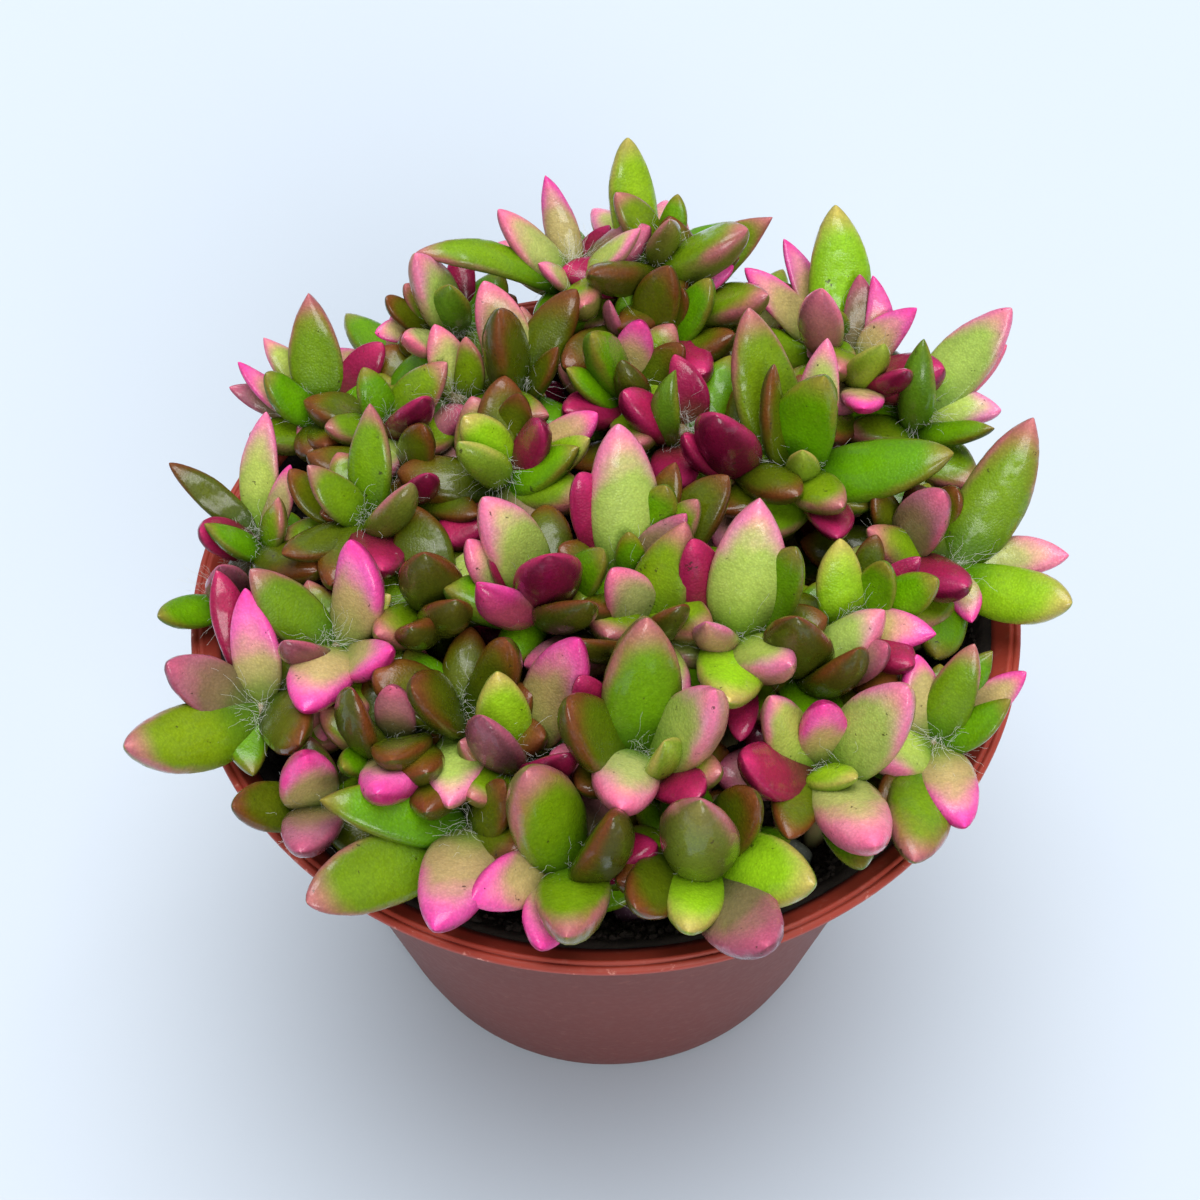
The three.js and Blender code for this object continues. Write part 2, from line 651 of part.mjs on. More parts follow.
function leafSolid(leaf, plant, grown) {
  const spread = leaf.base.distanceTo(plant.top);
  const root = plant.top.clone().lerp(stemBend(plant), Math.min(0.1 + 0.04 * spread, 0.6));
  const along = leaf.tip.clone().sub(leaf.base);
  const long = along.length();
  along.normalize();
  const facing = plant.top.clone().add(vector(0, 0, 6)).sub(leaf.base);
  const face = facing.addScaledVector(along, -facing.dot(along)).normalize();
  if (leaf.seen) {
    const broad = towardsEye.clone().addScaledVector(along, -towardsEye.dot(along));
    face.addScaledVector(broad, broadView * (face.dot(broad) < 0 ? -1 : 1)).normalize();
  }
  const side = face.clone().cross(along);
  const shape = leaf.wide < broadLeaf ? narrowRings : broadRings;
  const rings = shape.map((ring) => {
    const centre = leaf.base.clone().addScaledVector(along, ring.along * long);
    return section.map(([across, up]) => centre.clone()
      .addScaledVector(side, across * (ring.width * leaf.wide * 0.5 + grown))
      .addScaledVector(face, up * (ring.thickness * leaf.wide * leafThickness + grown * 2)));
  });
  return skin(root, rings, leaf.tip.clone().addScaledVector(along, grown));
}

function stemSolid(plant, radius, foot) {
  const low = plant.foot.clone().setZ(foot);
  const rings = [low, stemBend(plant), plant.top].map((centre, at) => {
    const thick = radius * [1, 1, 0.8][at];
    const ring = [];
    for (let side = 0; side < stemSides; side += 1) {
      const turn = (side / stemSides) * 2 * Math.PI;
      ring.push(centre.clone().add(vector(Math.cos(turn) * thick, Math.sin(turn) * thick, 0)));
    }
    return ring;
  });
  return skin(low, rings, plant.top.clone());
}

function boxesMeet(a, b) {
  return a.min[0] < b.max[0] && b.min[0] < a.max[0]
    && a.min[1] < b.max[1] && b.min[1] < a.max[1]
    && a.min[2] < b.max[2] && b.min[2] < a.max[2];
}

function cutBy(solid, cutters) {
  const box = solid.boundingBox();
  const near = cutters.filter((cutter) => boxesMeet(box, cutter.boundingBox()));
  return near.reduce((left, cutter) => left.subtract(cutter), solid);
}

// Keeps the one outer body of a fused solid: no loose scrap, no hollow sealed inside it
function largestBody(solid) {
  const bodies = solid.decompose();
  return bodies.reduce((best, body) => (body.volume() > best.volume() ? body : best));
}

function wholeBody(fused) {
  const geometry = geometryOf(largestBody(fused.simplify(edgeBlend)));
  const places = geometry.attributes.position.array;
  places.forEach((place, at) => {
    places[at] = Math.round(place / snap) * snap;
  });
  return largestBody(solidOf(geometry));
}

// A sound body has every edge between exactly two faces, also where corners all but touch
function isSound(solid) {
  const joined = mergeVertices(geometryOf(solid), snap / 4);
  const corners = joined.index.array;
  const edges = new Set();
  for (let at = 0; at < corners.length; at += 3) {
    for (let side = 0; side < 3; side += 1) {
      const edge = `${corners[at + side]} ${corners[at + ((side + 1) % 3)]}`;
      if (edges.has(edge)) {
        return false;
      }
      edges.add(edge);
    }
  }
  return true;
}

function soundBody(fused) {
  try {
    const body = wholeBody(fused);
    return isSound(body) ? body : null;
  } catch (error) {
    return null;
  }
}

// Adds the leaves one by one: a leaf that would pinch the body is slimmed a little, or else left out
function fuseLeaves(stem, plant, cutters) {
  let fused = stem;
  let body = wholeBody(stem);
  plant.leaves.forEach((leaf) => {
    for (const easing of leafEasings) {
      const more = fused.add(cutBy(leafSolid(leaf, plant, -easing), cutters));
      const sound = soundBody(more);
      if (sound) {
        fused = more;
        body = sound;
        return;
      }
    }
  });
  return body;
}

// Each shoot is one body: its stem, and its leaves cut clear of the shoots before it
function growShoots(plants, guards) {
  const wideStems = plants.map((plant) => stemSolid(plant, stemRadius + clearance, soilTop - stemFoot));
  const wideLeaves = plants.map((plant) => plant.leaves.map((leaf) => leafSolid(leaf, plant, clearance)));
  return plants.map((plant, index) => {
    const others = [...guards, ...wideStems.filter((stem, at) => at !== index)];
    const before = wideLeaves.slice(0, index).flat();
    const stem = cutBy(stemSolid(plant, stemRadius, soilTop - stemFoot + soilGap), guards);
    const whole = fuseLeaves(stem, plant, [...others, ...before]);
    const colour = Math.hypot(plant.top.x, plant.top.y) > 33 ? colours.sunLeaf : colours.shadeLeaf;
    return meshOf(whole, plant.name, colour, 0.45);
  });
}

function lathe(profile, sides) {
  const points = profile.map(([radius, height]) => new THREE.Vector2(radius, height));
  const geometry = new THREE.LatheGeometry([...points, points[0]], sides);
  geometry.rotateX(Math.PI / 2);
  return solidOf(geometry);
}

function innerRadius(height) {
  const slope = (shoulderRadius - footRadius) / shoulderHeight;
  return footRadius + slope * height - wall;
}

function pot() {
  const body = lathe([
    [0, 0],
    [footRadius - 1, 0],
    [footRadius, 1],
    [shoulderRadius, shoulderHeight],
    [rimRadius - 0.76 * rimWidth, potHeight - rimBand],
    [rimRadius, potHeight - rimBand],
    [rimRadius, potHeight - ridge],
    [rimRadius - ridge, potHeight],
    [rimRadius - 0.4 * rimWidth, potHeight - ridge],
    [rimRadius - 0.6 * rimWidth, potHeight],
    [rimRadius - rimWidth, potHeight - ridge],
    [innerRadius(shoulderHeight), shoulderHeight + ridge],
    [innerRadius(floorThick), floorThick],
    [0, floorThick],
  ], potSides);
  let pierced = body;
  for (let turn = 45; turn < 360; turn += 90) {
    const hole = new THREE.CylinderGeometry(drainRadius, drainRadius, 3 * floorThick, 12);
    hole.rotateX(Math.PI / 2);
    hole.translate(drainCircle * Math.cos(radians(turn)), drainCircle * Math.sin(radians(turn)), floorThick / 2);
    pierced = pierced.subtract(solidOf(hole));
  }
  return meshOf(pierced, 'pot', colours.pot, 0.5);
}

// The room that the rim and the flare under it keep free of leaves
function rimGuard() {
  const low = shoulderHeight - 2;
  const under = potHeight - rimBand - clearance;
  return lathe([
    [innerRadius(low) - clearance, low],
    [innerRadius(shoulderHeight) - clearance, shoulderHeight + ridge + clearance],
    [rimRadius - rimWidth - clearance, potHeight + clearance],
    [rimRadius + clearance, potHeight + clearance],
    [rimRadius + clearance, under],
    [rimRadius - 0.76 * rimWidth + clearance, under],
    [shoulderRadius + 2 * clearance, shoulderHeight - clearance],
    [innerRadius(low) + wall + clearance, low],
  ], potSides);
}

function soil(plants) {
  const low = floorThick + soilGap;
  const body = lathe([
    [0, low],
    [innerRadius(low) - soilGap, low],
    [innerRadius(soilTop) - soilGap, soilTop],
    [0, soilTop],
  ], soilSides);
  const holes = plants.map((plant) => stemSolid(plant, stemHole, soilTop - stemFoot));
  return meshOf(cutBy(body, holes), 'soil', colours.soil, 0.95);
}

function pebbleSolid({ spot, across }, grown) {
  const centre = meetSurface(spot, () => soilTop);
  const most = innerRadius(soilTop) - 0.62 * across;
  const inward = Math.min(1, most / Math.hypot(centre.x, centre.y));
  centre.multiply(vector(inward, inward, 1)).setZ(soilTop + 0.3 * across + soilGap);
  const stone = new THREE.IcosahedronGeometry(across / 2, 1);
  const size = 1 + (2 * grown) / (0.6 * across);
  stone.scale(1.1 * size, 0.9 * size, 0.6 * size);
  stone.translate(centre.x, centre.y, centre.z);
  return solidOf(stone);
}

function pebble(reading, index) {
  return meshOf(pebbleSolid(reading, 0), `pebble-${index + 1}`, colours.pebble, 0.7);
}

const plants = [...shoots.map(readShoot), ...hiddenShoots.map(turnedShoot)];
makeRoom(plants);
plantFeet(plants);

const part = new THREE.Group();
part.name = 'potted-anacampseros';
const guards = [rimGuard(), ...pebbles.map((reading) => pebbleSolid(reading, clearance))];
part.add(pot(), soil(plants), ...pebbles.map(pebble), ...growShoots(plants, guards));

export default part;
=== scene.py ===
import math
from functools import partial

import bmesh
import bpy
import numpy as np
from mathutils import Matrix, Vector, noise


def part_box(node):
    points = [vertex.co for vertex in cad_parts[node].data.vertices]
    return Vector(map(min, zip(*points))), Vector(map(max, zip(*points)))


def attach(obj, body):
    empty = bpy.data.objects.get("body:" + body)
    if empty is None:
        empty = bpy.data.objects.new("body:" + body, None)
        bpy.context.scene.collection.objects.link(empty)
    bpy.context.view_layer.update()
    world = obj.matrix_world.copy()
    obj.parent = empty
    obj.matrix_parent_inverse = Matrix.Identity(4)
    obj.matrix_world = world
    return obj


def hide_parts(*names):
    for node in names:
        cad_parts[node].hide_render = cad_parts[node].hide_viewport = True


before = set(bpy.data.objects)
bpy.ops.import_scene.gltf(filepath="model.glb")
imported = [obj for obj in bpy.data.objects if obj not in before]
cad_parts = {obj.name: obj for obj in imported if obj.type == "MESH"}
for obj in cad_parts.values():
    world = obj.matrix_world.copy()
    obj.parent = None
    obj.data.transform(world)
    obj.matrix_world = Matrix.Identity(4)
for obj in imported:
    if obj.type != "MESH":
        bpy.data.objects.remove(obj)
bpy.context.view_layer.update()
mm = 0.001
perMetre = 1000
print("frame loaded:", len(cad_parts), "nodes")

# Where the photograph was taken from, millimetres and degrees, with the focal length in pixels of 1200
cameraView = {
    "aim": (-0.68, -0.87, 72),
    "range": 264,
    "elevation": 54.35,
    "roll": -0.76,
    "focal": 2100,
    "middle": 600,
}

# The mound on which the crowns lie, and how shoots grow out of it; a turned leaf is one placed by rule
mound = {
    "rim": 72,
    "height": 14,
    "radius": 55,
    "soilTop": 62,
    "rosetteReach": 5.5,
    "stemRadius": 1.5,
    "stemReach": 40,
    "stemSpacing": 5,
    "leafLongness": 1.9,
    "turnedOut": 2.4,
    "turnedLongness": 2.1,
    "rimMiddle": 50.4,
    "rimDrop": 1.6,
    "rimTube": 2.2,
}


def leaf(tone, tip, base, wide, arch=0.0):
    return {"tip": tip, "base": base, "wide": wide, "tone": tone, "arch": arch}


# Colours of a leaf: at its base, its middle, its tip, along its margins, and on its underside; blush is how
# far the tip colour reaches down, blunt how round the leaf ends
colourParts = ("low", "middle", "high", "edge", "under")
leafTones = {tone: dict(zip((*colourParts, "blush", "blunt"), values)) for tone, *values in (
    ("edged", "#4A700A", "#6C8C0C", "#9C7840", "#C2627A", "#646A24", 0.3, 0.3),
    ("green", "#406C06", "#5E9004", "#7A920A", "#8A7030", "#4E7016", 0.22, 0.3),
    ("cream", "#648A20", "#A4B854", "#EE90B0", "#F0709C", "#B4866C", 0.33, 0.25),
    ("hotPink", "#6E8430", "#B4A068", "#F466B0", "#EC2E94", "#A8145C", 0.46, 0.35),
    ("palePink", "#6C8834", "#A8AC64", "#EE8CA0", "#EE6090", "#B45C70", 0.42, 0.35),
    # magenta: the maroon of older leaves, partly made darker as painted shade
    ("magenta", "#4E3A1C", "#7C1C34", "#981A48", "#BC2C64", "#60082A", 0.6, 0.6),
    ("olive", "#364E04", "#525E08", "#6E4814", "#74391F", "#444C10", 0.34, 0.6),
    ("lime", "#5A8A08", "#8CB818", "#B0C044", "#BCA05C", "#7C962A", 0.3, 0.3),
    ("mauve", "#4C5C24", "#7E6C4A", "#B06A78", "#C04E74", "#743C48", 0.5, 0.55),
)}
toned = [partial(leaf, tone) for tone in leafTones]
edged, green, cream, hotPink, palePink, magenta, olive, lime, mauve = toned

# Each shoot as read from the photograph: the middle of its rosette, and its leaves by tone, with their tips
# and bases in pixels of the 1200-pixel frame and their widths in millimetres
shoots = [
    {"crown": (322, 413), "lift": 1, "leaves": [
        edged(tip=(309, 293), base=(327, 401), wide=6.5), cream(tip=(263, 337), base=(301, 380), wide=4.0),
        hotPink(tip=(238, 362), base=(289, 421), wide=3.4), green(tip=(266, 373), base=(304, 424), wide=4.8),
        palePink(tip=(299, 447), base=(332, 394), wide=5.0), magenta(tip=(382, 342), base=(350, 400), wide=4.6),
        mauve(tip=(229, 387), base=(258, 413), wide=3.4),
    ]},
    {"crown": (258, 545), "lift": 0, "leaves": [
        cream(tip=(266, 411), base=(245, 497), wide=4.8), olive(tip=(169, 463), base=(243, 510), wide=3.6),
        hotPink(tip=(290, 464), base=(263, 534), wide=3.4), edged(tip=(279, 497), base=(276, 560), wide=3.8),
        green(tip=(205, 524), base=(263, 565), wide=3.8), magenta(tip=(200, 530), base=(240, 535), wide=5.0),
    ]},
    {"crown": (368, 516), "lift": 0, "leaves": [
        edged(tip=(370, 403), base=(373, 503), wide=5.4), edged(tip=(307, 465), base=(365, 524), wide=4.6),
        olive(tip=(289, 470), base=(322, 524), wide=4.4), edged(tip=(411, 483), base=(383, 544), wide=5.2),
        olive(tip=(282, 555), base=(355, 534), wide=5.0),
    ]},
    {"crown": (388, 424), "lift": 0, "leaves": [
        green(tip=(363, 367), base=(386, 426), wide=4.4), edged(tip=(449, 362), base=(393, 421), wide=5.8),
        magenta(tip=(424, 398), base=(414, 428), wide=5.4),
    ]},
    {"crown": (406, 477), "lift": -2, "leaves": [
        olive(tip=(424, 425), base=(414, 466), wide=5.0), olive(tip=(467, 485), base=(411, 449), wide=4.6),
        magenta(tip=(428, 474), base=(418, 500), wide=4.2), olive(tip=(478, 515), base=(430, 508), wide=4.4),
    ]},
    {"crown": (459, 393), "lift": 2, "leaves": [
        palePink(tip=(433, 326), base=(454, 388), wide=4.8), edged(tip=(466, 337), base=(484, 396), wide=3.6),
    ]},
    {"crown": (455, 325), "lift": 5, "leaves": [
        cream(tip=(415, 253), base=(455, 324), wide=6.6), magenta(tip=(462, 246), base=(456, 300), wide=3.8),
        green(tip=(450, 285), base=(452, 325), wide=5.2), hotPink(tip=(375, 332), base=(424, 322), wide=3.6),
        palePink(tip=(404, 338), base=(440, 348), wide=4.4), olive(tip=(386, 297), base=(378, 332), wide=3.6),
        edged(tip=(405, 284), base=(420, 310), wide=3.8),
    ]},
    {"crown": (576, 273), "lift": 8, "leaves": [
        palePink(tip=(498, 210), base=(563, 273), wide=5.2),
        edged(tip=(416, 253), base=(536, 280), wide=4.8, arch=0.4),
        hotPink(tip=(545, 175), base=(553, 222), wide=4.2), magenta(tip=(609, 225), base=(573, 253), wide=3.4),
        cream(tip=(640, 229), base=(579, 284), wide=4.6), palePink(tip=(539, 263), base=(571, 284), wide=3.2),
    ]},
    {"crown": (655, 253), "lift": 11, "leaves": [
        lime(tip=(628, 137), base=(630, 228), wide=6.2), edged(tip=(616, 192), base=(655, 243), wide=5.2),
        edged(tip=(670, 220), base=(655, 250), wide=4.6), green(tip=(678, 194), base=(673, 243), wide=3.6),
    ]},
    {"crown": (690, 285), "lift": 8, "leaves": [
        edged(tip=(772, 217), base=(683, 266), wide=5.2), hotPink(tip=(734, 266), base=(688, 286), wide=3.4),
        edged(tip=(624, 268), base=(672, 258), wide=3.6),
    ]},
    {"crown": (650, 335), "lift": 3, "leaves": [
        olive(tip=(670, 266), base=(642, 330), wide=6.2), olive(tip=(683, 289), base=(675, 330), wide=4.0),
        green(tip=(711, 279), base=(706, 337), wide=5.0), green(tip=(637, 282), base=(612, 327), wide=3.6),
        mauve(tip=(609, 301), base=(573, 335), wide=3.6),
    ]},
    {"crown": (520, 388), "lift": 1, "leaves": [
        olive(tip=(499, 310), base=(512, 391), wide=7.4), palePink(tip=(484, 281), base=(494, 340), wide=6.2),
        olive(tip=(576, 289), base=(543, 345), wide=5.6), olive(tip=(558, 347), base=(528, 401), wide=3.6),
    ]},
    {"crown": (630, 388), "lift": 0, "leaves": [
        green(tip=(591, 335), base=(617, 381), wide=6.4), green(tip=(566, 368), base=(617, 409), wide=4.2),
        olive(tip=(622, 360), base=(642, 414), wide=4.2), olive(tip=(683, 345), base=(642, 376), wide=4.4),
        hotPink(tip=(640, 322), base=(632, 352), wide=5.0),
    ]},
    {"crown": (680, 430), "lift": -1, "leaves": [
        green(tip=(676, 370), base=(650, 452), wide=4.2), magenta(tip=(674, 354), base=(721, 414), wide=4.6),
    ]},
    {"crown": (500, 470), "lift": 0, "leaves": [
        lime(tip=(464, 416), base=(517, 457), wide=5.4), lime(tip=(459, 442), base=(510, 483), wide=5.0),
        olive(tip=(520, 394), base=(522, 430), wide=4.6), magenta(tip=(541, 424), base=(528, 452), wide=5.2),
        green(tip=(579, 447), base=(515, 490), wide=5.2), hotPink(tip=(598, 414), base=(584, 440), wide=5.0),
        lime(tip=(590, 438), base=(570, 466), wide=4.4),
    ]},
    {"crown": (630, 575), "lift": 1, "leaves": [
        cream(tip=(619, 423), base=(626, 560), wide=8.4), magenta(tip=(579, 473), base=(609, 552), wide=6.0),
        mauve(tip=(686, 514), base=(637, 575), wide=4.6), green(tip=(629, 532), base=(630, 570), wide=3.4),
        green(tip=(667, 485), base=(648, 530), wide=5.0), edged(tip=(697, 500), base=(668, 545), wide=4.8),
        olive(tip=(676, 462), base=(664, 508), wide=4.6), olive(tip=(729, 476), base=(690, 526), wide=6.4),
    ]},
    {"crown": (745, 455), "lift": -1, "leaves": [
        magenta(tip=(717, 415), base=(728, 462), wide=7.6), magenta(tip=(684, 436), base=(706, 470), wide=4.4),
    ]},
    {"crown": (803, 466), "lift": 0, "leaves": [
        edged(tip=(749, 308), base=(739, 419), wide=8.2), olive(tip=(774, 364), base=(769, 469), wide=4.6),
        green(tip=(825, 376), base=(802, 459), wide=8.0), cream(tip=(827, 338), base=(824, 380), wide=5.0),
        green(tip=(955, 454), base=(820, 479), wide=7.8), edged(tip=(843, 507), base=(800, 484), wide=5.8),
        lime(tip=(802, 450), base=(802, 480), wide=4.0), magenta(tip=(838, 538), base=(826, 498), wide=5.4),
    ]},
    {"crown": (838, 335), "lift": 5, "leaves": [
        lime(tip=(836, 205), base=(838, 323), wide=7.6), hotPink(tip=(784, 239), base=(787, 270), wide=4.0),
        edged(tip=(761, 278), base=(812, 286), wide=3.6), palePink(tip=(822, 289), base=(794, 367), wide=5.8),
        green(tip=(833, 308), base=(843, 334), wide=3.6), edged(tip=(856, 362), base=(810, 334), wide=4.0),
        hotPink(tip=(745, 268), base=(762, 305), wide=4.2),
    ]},
    {"crown": (866, 370), "lift": 4, "leaves": [
        hotPink(tip=(873, 275), base=(904, 354), wide=3.6), hotPink(tip=(917, 308), base=(853, 354), wide=4.6),
        mauve(tip=(860, 274), base=(858, 310), wide=4.2), lime(tip=(884, 344), base=(858, 408), wide=4.8),
        magenta(tip=(906, 370), base=(884, 402), wide=4.6), hotPink(tip=(864, 408), base=(850, 434), wide=5.2),
    ]},
    {"crown": (922, 416), "lift": 3, "leaves": [
        cream(tip=(1012, 308), base=(936, 366), wide=6.8), palePink(tip=(1007, 344), base=(950, 374), wide=4.4),
        cream(tip=(1001, 410), base=(935, 405), wide=5.0), green(tip=(924, 339), base=(920, 432), wide=4.8),
        green(tip=(995, 428), base=(935, 451), wide=3.4),
    ]},
    {"crown": (953, 570), "lift": 0, "leaves": [
        edged(tip=(1034, 418), base=(970, 533), wide=8.2), cream(tip=(988, 492), base=(981, 550), wide=3.2),
        palePink(tip=(1069, 555), base=(993, 557), wide=5.2), lime(tip=(1072, 603), base=(983, 593), wide=6.6),
        hotPink(tip=(972, 622), base=(962, 566), wide=4.2),
    ]},
    {"crown": (905, 545), "lift": -1, "leaves": [
        mauve(tip=(944, 492), base=(904, 540), wide=6.4), olive(tip=(876, 487), base=(894, 540), wide=4.0),
        olive(tip=(957, 488), base=(936, 524), wide=4.6),
    ]},
    {"crown": (735, 635), "lift": 1, "leaves": [
        cream(tip=(760, 498), base=(731, 626), wide=8.8), magenta(tip=(692, 540), base=(704, 612), wide=5.4),
        green(tip=(796, 548), base=(780, 614), wide=6.4), cream(tip=(706, 622), base=(722, 654), wide=4.6),
        lime(tip=(729, 702), base=(738, 646), wide=7.4), magenta(tip=(740, 742), base=(744, 690), wide=3.8),
    ]},
    {"crown": (850, 625), "lift": 0, "leaves": [
        lime(tip=(840, 539), base=(835, 623), wide=5.4), olive(tip=(876, 534), base=(866, 583), wide=3.8),
        magenta(tip=(921, 557), base=(884, 567), wide=3.8), hotPink(tip=(937, 634), base=(853, 626), wide=4.8),
        green(tip=(938, 578), base=(896, 592), wide=5.2), green(tip=(886, 564), base=(868, 604), wide=4.8),
    ]},
    {"crown": (800, 665), "lift": -1, "leaves": [
        olive(tip=(796, 618), base=(800, 666), wide=7.6), olive(tip=(858, 649), base=(830, 705), wide=6.4),
        mauve(tip=(888, 646), base=(850, 676), wide=4.6),
    ]},
    {"crown": (940, 745), "lift": 0, "leaves": [
        edged(tip=(975, 644), base=(930, 741), wide=5.0), hotPink(tip=(917, 654), base=(922, 733), wide=5.2),
        hotPink(tip=(1026, 672), base=(980, 700), wide=4.0), green(tip=(1011, 700), base=(945, 748), wide=4.2),
        olive(tip=(878, 807), base=(937, 753), wide=5.4), hotPink(tip=(965, 827), base=(945, 758), wide=6.0),
        edged(tip=(914, 862), base=(906, 806), wide=7.2), green(tip=(993, 651), base=(944, 690), wide=4.2),
    ]},
    {"crown": (825, 765), "lift": 0, "leaves": [
        cream(tip=(908, 687), base=(843, 764), wide=8.2), hotPink(tip=(824, 704), base=(818, 748), wide=5.4),
        cream(tip=(772, 696), base=(800, 748), wide=5.8), lime(tip=(856, 779), base=(802, 764), wide=4.8),
        palePink(tip=(876, 847), base=(827, 792), wide=8.0), magenta(tip=(744, 760), base=(790, 782), wide=6.6),
        olive(tip=(788, 838), base=(802, 784), wide=5.4), green(tip=(862, 868), base=(828, 838), wide=5.6),
    ]},
    {"crown": (640, 752), "lift": 1, "leaves": [
        edged(tip=(647, 618), base=(640, 743), wide=9.0), cream(tip=(716, 690), base=(680, 752), wide=8.2),
        olive(tip=(566, 704), base=(606, 764), wide=7.8), palePink(tip=(620, 812), base=(632, 752), wide=7.2),
        lime(tip=(664, 742), base=(660, 778), wide=5.4), magenta(tip=(578, 676), base=(598, 722), wide=4.6),
        magenta(tip=(700, 796), base=(668, 776), wide=5.4),
    ]},
    {"crown": (514, 752), "lift": 0, "leaves": [
        lime(tip=(497, 672), base=(502, 748), wide=5.8), hotPink(tip=(579, 639), base=(543, 713), wide=7.0),
        mauve(tip=(482, 716), base=(500, 776), wide=6.2), magenta(tip=(568, 754), base=(544, 792), wide=5.2),
    ]},
    {"crown": (540, 590), "lift": 1, "leaves": [
        cream(tip=(483, 497), base=(530, 572), wide=7.0), magenta(tip=(549, 556), base=(544, 600), wide=7.4),
        green(tip=(604, 551), base=(576, 600), wide=5.0), olive(tip=(590, 602), base=(552, 630), wide=6.0),
        hotPink(tip=(476, 583), base=(527, 629), wide=5.6), palePink(tip=(468, 540), base=(500, 592), wide=4.6),
        magenta(tip=(496, 540), base=(512, 586), wide=4.4),
    ]},
    {"crown": (640, 630), "lift": 0, "leaves": [
        palePink(tip=(612, 569), base=(647, 618), wide=5.6), olive(tip=(680, 606), base=(650, 642), wide=5.2),
        olive(tip=(578, 640), base=(616, 664), wide=5.0),
    ]},
    {"crown": (435, 600), "lift": -2, "leaves": [
        olive(tip=(424, 554), base=(432, 600), wide=7.0), olive(tip=(456, 600), base=(448, 652), wide=5.6),
        olive(tip=(410, 628), base=(428, 664), wide=5.4),
    ]},
    {"crown": (331, 644), "lift": 0, "leaves": [
        edged(tip=(250, 570), base=(330, 639), wide=6.0), hotPink(tip=(351, 540), base=(401, 623), wide=6.4),
        lime(tip=(391, 595), base=(345, 634), wide=3.8), hotPink(tip=(304, 711), base=(345, 644), wide=7.2),
        hotPink(tip=(392, 650), base=(368, 694), wide=5.0), mauve(tip=(284, 640), base=(318, 676), wide=4.6),
    ]},
    {"crown": (255, 710), "lift": 0, "leaves": [
        hotPink(tip=(245, 588), base=(263, 695), wide=5.6), magenta(tip=(216, 570), base=(238, 630), wide=4.6),
        mauve(tip=(168, 664), base=(233, 695), wide=6.4), edged(tip=(124, 746), base=(228, 736), wide=8.0),
        green(tip=(253, 776), base=(228, 703), wide=5.4), olive(tip=(300, 744), base=(284, 700), wide=6.6),
    ]},
    {"crown": (225, 600), "lift": -2, "leaves": [
        green(tip=(160, 622), base=(210, 616), wide=4.4), mauve(tip=(220, 566), base=(232, 604), wide=5.0),
    ]},
    {"crown": (315, 815), "lift": -1, "leaves": [
        hotPink(tip=(305, 756), base=(308, 796), wide=6.4), mauve(tip=(300, 852), base=(324, 812), wide=6.4),
        olive(tip=(232, 806), base=(288, 800), wide=5.6),
    ]},
    {"crown": (395, 740), "lift": -1, "leaves": [
        olive(tip=(352, 690), base=(360, 746), wide=6.4), mauve(tip=(392, 686), base=(402, 736), wide=4.6),
        olive(tip=(392, 760), base=(424, 736), wide=6.4), hotPink(tip=(374, 800), base=(404, 762), wide=7.0),
        green(tip=(342, 768), base=(362, 754), wide=3.8),
    ]},
    {"crown": (460, 720), "lift": -1, "leaves": [
        olive(tip=(411, 687), base=(464, 718), wide=6.8), olive(tip=(508, 640), base=(496, 694), wide=5.2),
        cream(tip=(448, 806), base=(462, 750), wide=6.0),
    ]},
    {"crown": (468, 830), "lift": 0, "leaves": [
        green(tip=(322, 794), base=(455, 817), wide=6.6), edged(tip=(307, 902), base=(412, 863), wide=7.6),
        hotPink(tip=(435, 930), base=(468, 843), wide=8.2), olive(tip=(506, 784), base=(475, 843), wide=5.2),
    ]},
    {"crown": (575, 868), "lift": 0, "leaves": [
        edged(tip=(526, 770), base=(557, 863), wide=9.0), hotPink(tip=(470, 901), base=(529, 863), wide=6.0),
        edged(tip=(567, 937), base=(583, 876), wide=8.0), olive(tip=(614, 816), base=(604, 872), wide=7.6),
        hotPink(tip=(540, 948), base=(556, 894), wide=5.4),
    ]},
    {"crown": (705, 858), "lift": 0, "leaves": [
        edged(tip=(702, 800), base=(702, 864), wide=8.8), olive(tip=(756, 796), base=(732, 842), wide=6.4),
        lime(tip=(815, 885), base=(722, 862), wide=7.6), lime(tip=(688, 932), base=(694, 872), wide=6.2),
        mauve(tip=(768, 946), base=(716, 906), wide=8.4), olive(tip=(636, 908), base=(664, 868), wide=6.4),
    ]},
]

# Far side of the pot, out of the photograph's sight: degrees round the pot and millimetres out
hiddenShoots = [
    {"bearing": 64, "reach": 42, "leaves": 6},
    {"bearing": 128, "reach": 42, "leaves": 6},
]
rearLeaves = [
    {"turn": -42, "rise": -2, "wide": 6},
    {"turn": 2, "rise": -8, "wide": 6.4},
    {"turn": 44, "rise": -2, "wide": 5.8},
]
rearDrop = 3.5
rearCrownFrom = 40


def upBy(height):
    return np.array([0, 0, height])


def unit(v):
    v = np.asarray(v, float)
    return v / max(np.linalg.norm(v), 1e-9)


# Axes of the view
tilt = math.radians(cameraView["elevation"])
roll = math.radians(cameraView["roll"])
towardsEye = np.array([0, -math.cos(tilt), math.sin(tilt)])
eye = np.array(cameraView["aim"]) + towardsEye * cameraView["range"]
raised = np.array([0, math.sin(tilt), math.cos(tilt)])
level = np.array([1.0, 0, 0])
viewRight = level * math.cos(roll) + raised * math.sin(roll)
viewUp = raised * math.cos(roll) - level * math.sin(roll)


def sightLine(spot):
    across = (spot[0] - cameraView["middle"]) / cameraView["focal"]
    up = (cameraView["middle"] - spot[1]) / cameraView["focal"]
    return unit(-towardsEye + viewRight * across + viewUp * up)


def moundAt(x, y):
    return mound["rim"] + mound["height"] * (1 - (x * x + y * y) / mound["radius"] ** 2)


